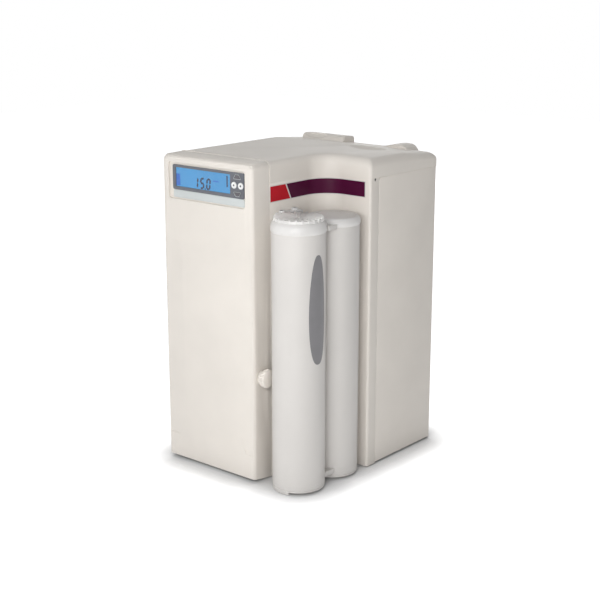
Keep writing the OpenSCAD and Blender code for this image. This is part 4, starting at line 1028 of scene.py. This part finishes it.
class PURIFIER_OT_stage(bpy.types.Operator):
    """Floor, soft light and camera"""

    bl_idname = "purifier.stage"
    bl_label = "Stage"

    def seen(self, tree):
        """1 for what the camera sees itself, in metal or through glass"""
        path = tree.nodes.new("ShaderNodeLightPath")
        first = tree.nodes.new("ShaderNodeMath")
        first.operation = "MAXIMUM"
        second = tree.nodes.new("ShaderNodeMath")
        second.operation = "MAXIMUM"
        tree.links.new(path.outputs["Is Camera Ray"], first.inputs[0])
        tree.links.new(path.outputs["Is Glossy Ray"], first.inputs[1])
        tree.links.new(first.outputs[0], second.inputs[0])
        tree.links.new(path.outputs["Is Transmission Ray"], second.inputs[1])
        return second.outputs[0]

    def sky(self, scene, sizes):
        """Even light from all round, with a white background"""
        world = bpy.data.worlds.new("soft_sky")
        scene.world = world
        world.use_nodes = True
        tree = world.node_tree
        back = tree.nodes["Background"]
        back.inputs["Color"].default_value = (1, 1, 1, 1)
        reach = tree.nodes.new("ShaderNodeMapRange")
        reach.inputs["To Min"].default_value = sizes.sky
        reach.inputs["To Max"].default_value = 1.0
        tree.links.new(self.seen(tree), reach.inputs["Value"])
        tree.links.new(reach.outputs["Result"], back.inputs["Strength"])

    def floor(self, sizes):
        """Pale floor whose glow is darkened near the object's foot by ambient occlusion, a painted soft
        shadow over the real shadows in its paint
        """
        bpy.ops.object.select_all(action="DESELECT")
        bpy.ops.mesh.primitive_plane_add(size=sizes.floor_size, location=(0, 0, 0))
        floor = bpy.context.object
        floor.name = "floor"
        made = bpy.data.materials.new("pale_floor")
        made.use_nodes = True
        tree = made.node_tree
        tree.nodes.remove(tree.nodes["Principled BSDF"])
        paint = tree.nodes.new("ShaderNodeBsdfDiffuse")
        paint.inputs["Color"].default_value = (*[sizes.floor_grey] * 3, 1)
        glow = tree.nodes.new("ShaderNodeEmission")
        glow.inputs["Color"].default_value = (1, 1, 1, 1)
        reach = tree.nodes.new("ShaderNodeMapRange")
        reach.inputs["To Min"].default_value = sizes.floor_bounce
        reach.inputs["To Max"].default_value = sizes.floor_glow
        # Painted shadow: the floor's glow, both the white the camera sees and the light thrown back at the
        # case, is darkened by ambient occlusion near the object's foot
        near = tree.nodes.new("ShaderNodeAmbientOcclusion")
        near.inputs["Distance"].default_value = sizes.shadow_reach
        glow_in_painted_shadow = tree.nodes.new("ShaderNodeMath")
        glow_in_painted_shadow.operation = "MULTIPLY"
        total = tree.nodes.new("ShaderNodeAddShader")
        tree.links.new(self.seen(tree), reach.inputs["Value"])
        tree.links.new(reach.outputs["Result"], glow_in_painted_shadow.inputs[0])
        depth = tree.nodes.new("ShaderNodeMath")
        depth.operation = "POWER"
        depth.inputs[1].default_value = sizes.shadow_depth
        tree.links.new(near.outputs["AO"], depth.inputs[0])
        tree.links.new(depth.outputs[0], glow_in_painted_shadow.inputs[1])
        tree.links.new(glow_in_painted_shadow.outputs[0], glow.inputs["Strength"])
        tree.links.new(paint.outputs[0], total.inputs[0])
        tree.links.new(glow.outputs[0], total.inputs[1])
        tree.links.new(total.outputs[0], tree.nodes["Material Output"].inputs["Surface"])
        floor.data.materials.append(made)

    def lamp(self, name, place, target, power, size):
        """Soft square light that points at a place and isn't seen itself"""
        bpy.ops.object.light_add(type="AREA", location=place)
        lamp = bpy.context.object
        lamp.name = name
        lamp.data.energy = power
        lamp.data.size = size
        lamp.rotation_euler = (Vector(target) - Vector(place)).to_track_quat("-Z", "Y").to_euler()
        lamp.visible_camera = False

    def camera(self, scene, sizes):
        """Camera at the viewing angle from the front right"""
        place = Vector((LEFT, FRONT, 0)) + Vector(sizes.camera_from_corner)
        bpy.ops.object.camera_add(location=place, rotation=(sizes.camera_tilt, 0, sizes.camera_turn))
        camera = bpy.context.object
        camera.data.lens = sizes.lens
        scene.camera = camera

    def execute(self, context):
        scene = context.scene
        sizes = scene.purifier_stage
        self.sky(scene, sizes)
        self.floor(sizes)
        middle = (0, 0, COVER_HIGH.z / 2)
        lamps = (
            ("left_light", (-1.7, -2.4, 1.2), sizes.left_power, sizes.soft_size),
            ("right_light", (2.1, -2.1, 1.0), sizes.right_power, sizes.soft_size),
            ("bay_light", (0.5, -0.95, 0.6), sizes.bay_power, sizes.bay_size),
            ("back_light", (-1.2, 2.6, 1.0), sizes.back_power, sizes.soft_size),
            ("top_light", (0, 0.4, 3.0), sizes.top_power, sizes.soft_size),
        )
        for name, place, power, size in lamps:
            self.lamp(name, place, middle, power, size)
        self.camera(scene, sizes)
        scene.view_settings.view_transform = "Standard"
        return {"FINISHED"}


class PURIFIER_PT_panel(bpy.types.Panel):
    """Makers of the purifier's pieces"""

    bl_label = "Purifier"
    bl_space_type = "VIEW_3D"
    bl_region_type = "UI"
    bl_category = "Purifier"

    def draw(self, context):
        for maker in MAKERS:
            self.layout.operator(maker.bl_idname)
        for group in GROUPS:
            held = getattr(context.scene, group)
            for name in held.bl_rna.properties.keys():
                if name not in ("rna_type", "name"):
                    self.layout.prop(held, name)


MAKERS = (
    PURIFIER_OT_finishes, PURIFIER_OT_shells, PURIFIER_OT_lid, PURIFIER_OT_bead, PURIFIER_OT_stop,
    PURIFIER_OT_band, PURIFIER_OT_display, PURIFIER_OT_keys, PURIFIER_OT_stage,
)
GROUPS = {
    "purifier_case": CaseSizes, "purifier_display": DisplaySizes, "purifier_colours": FinishColours,
    "purifier_stage": StageSizes,
}


def register():
    """Make the groups of sizes, the makers and the panel known"""
    for group in GROUPS.values():
        bpy.utils.register_class(group)
    for maker in MAKERS:
        bpy.utils.register_class(maker)
    bpy.utils.register_class(PURIFIER_PT_panel)
    for name, group in GROUPS.items():
        setattr(bpy.types.Scene, name, PointerProperty(type=group))


def unregister():
    """Take the panel, the makers and the groups of sizes away again"""
    for name in GROUPS:
        delattr(bpy.types.Scene, name)
    bpy.utils.unregister_class(PURIFIER_PT_panel)
    for maker in reversed(MAKERS):
        bpy.utils.unregister_class(maker)
    for group in reversed(list(GROUPS.values())):
        bpy.utils.unregister_class(group)


def main():
    """Make every piece"""
    register()
    bpy.ops.purifier.finishes()
    bpy.ops.purifier.shells()
    bpy.ops.purifier.lid()
    bpy.ops.purifier.bead()
    bpy.ops.purifier.stop()
    bpy.ops.purifier.band()
    bpy.ops.purifier.display()
    bpy.ops.purifier.keys()
    bpy.ops.purifier.stage()


if __name__ == "__main__":
    main()
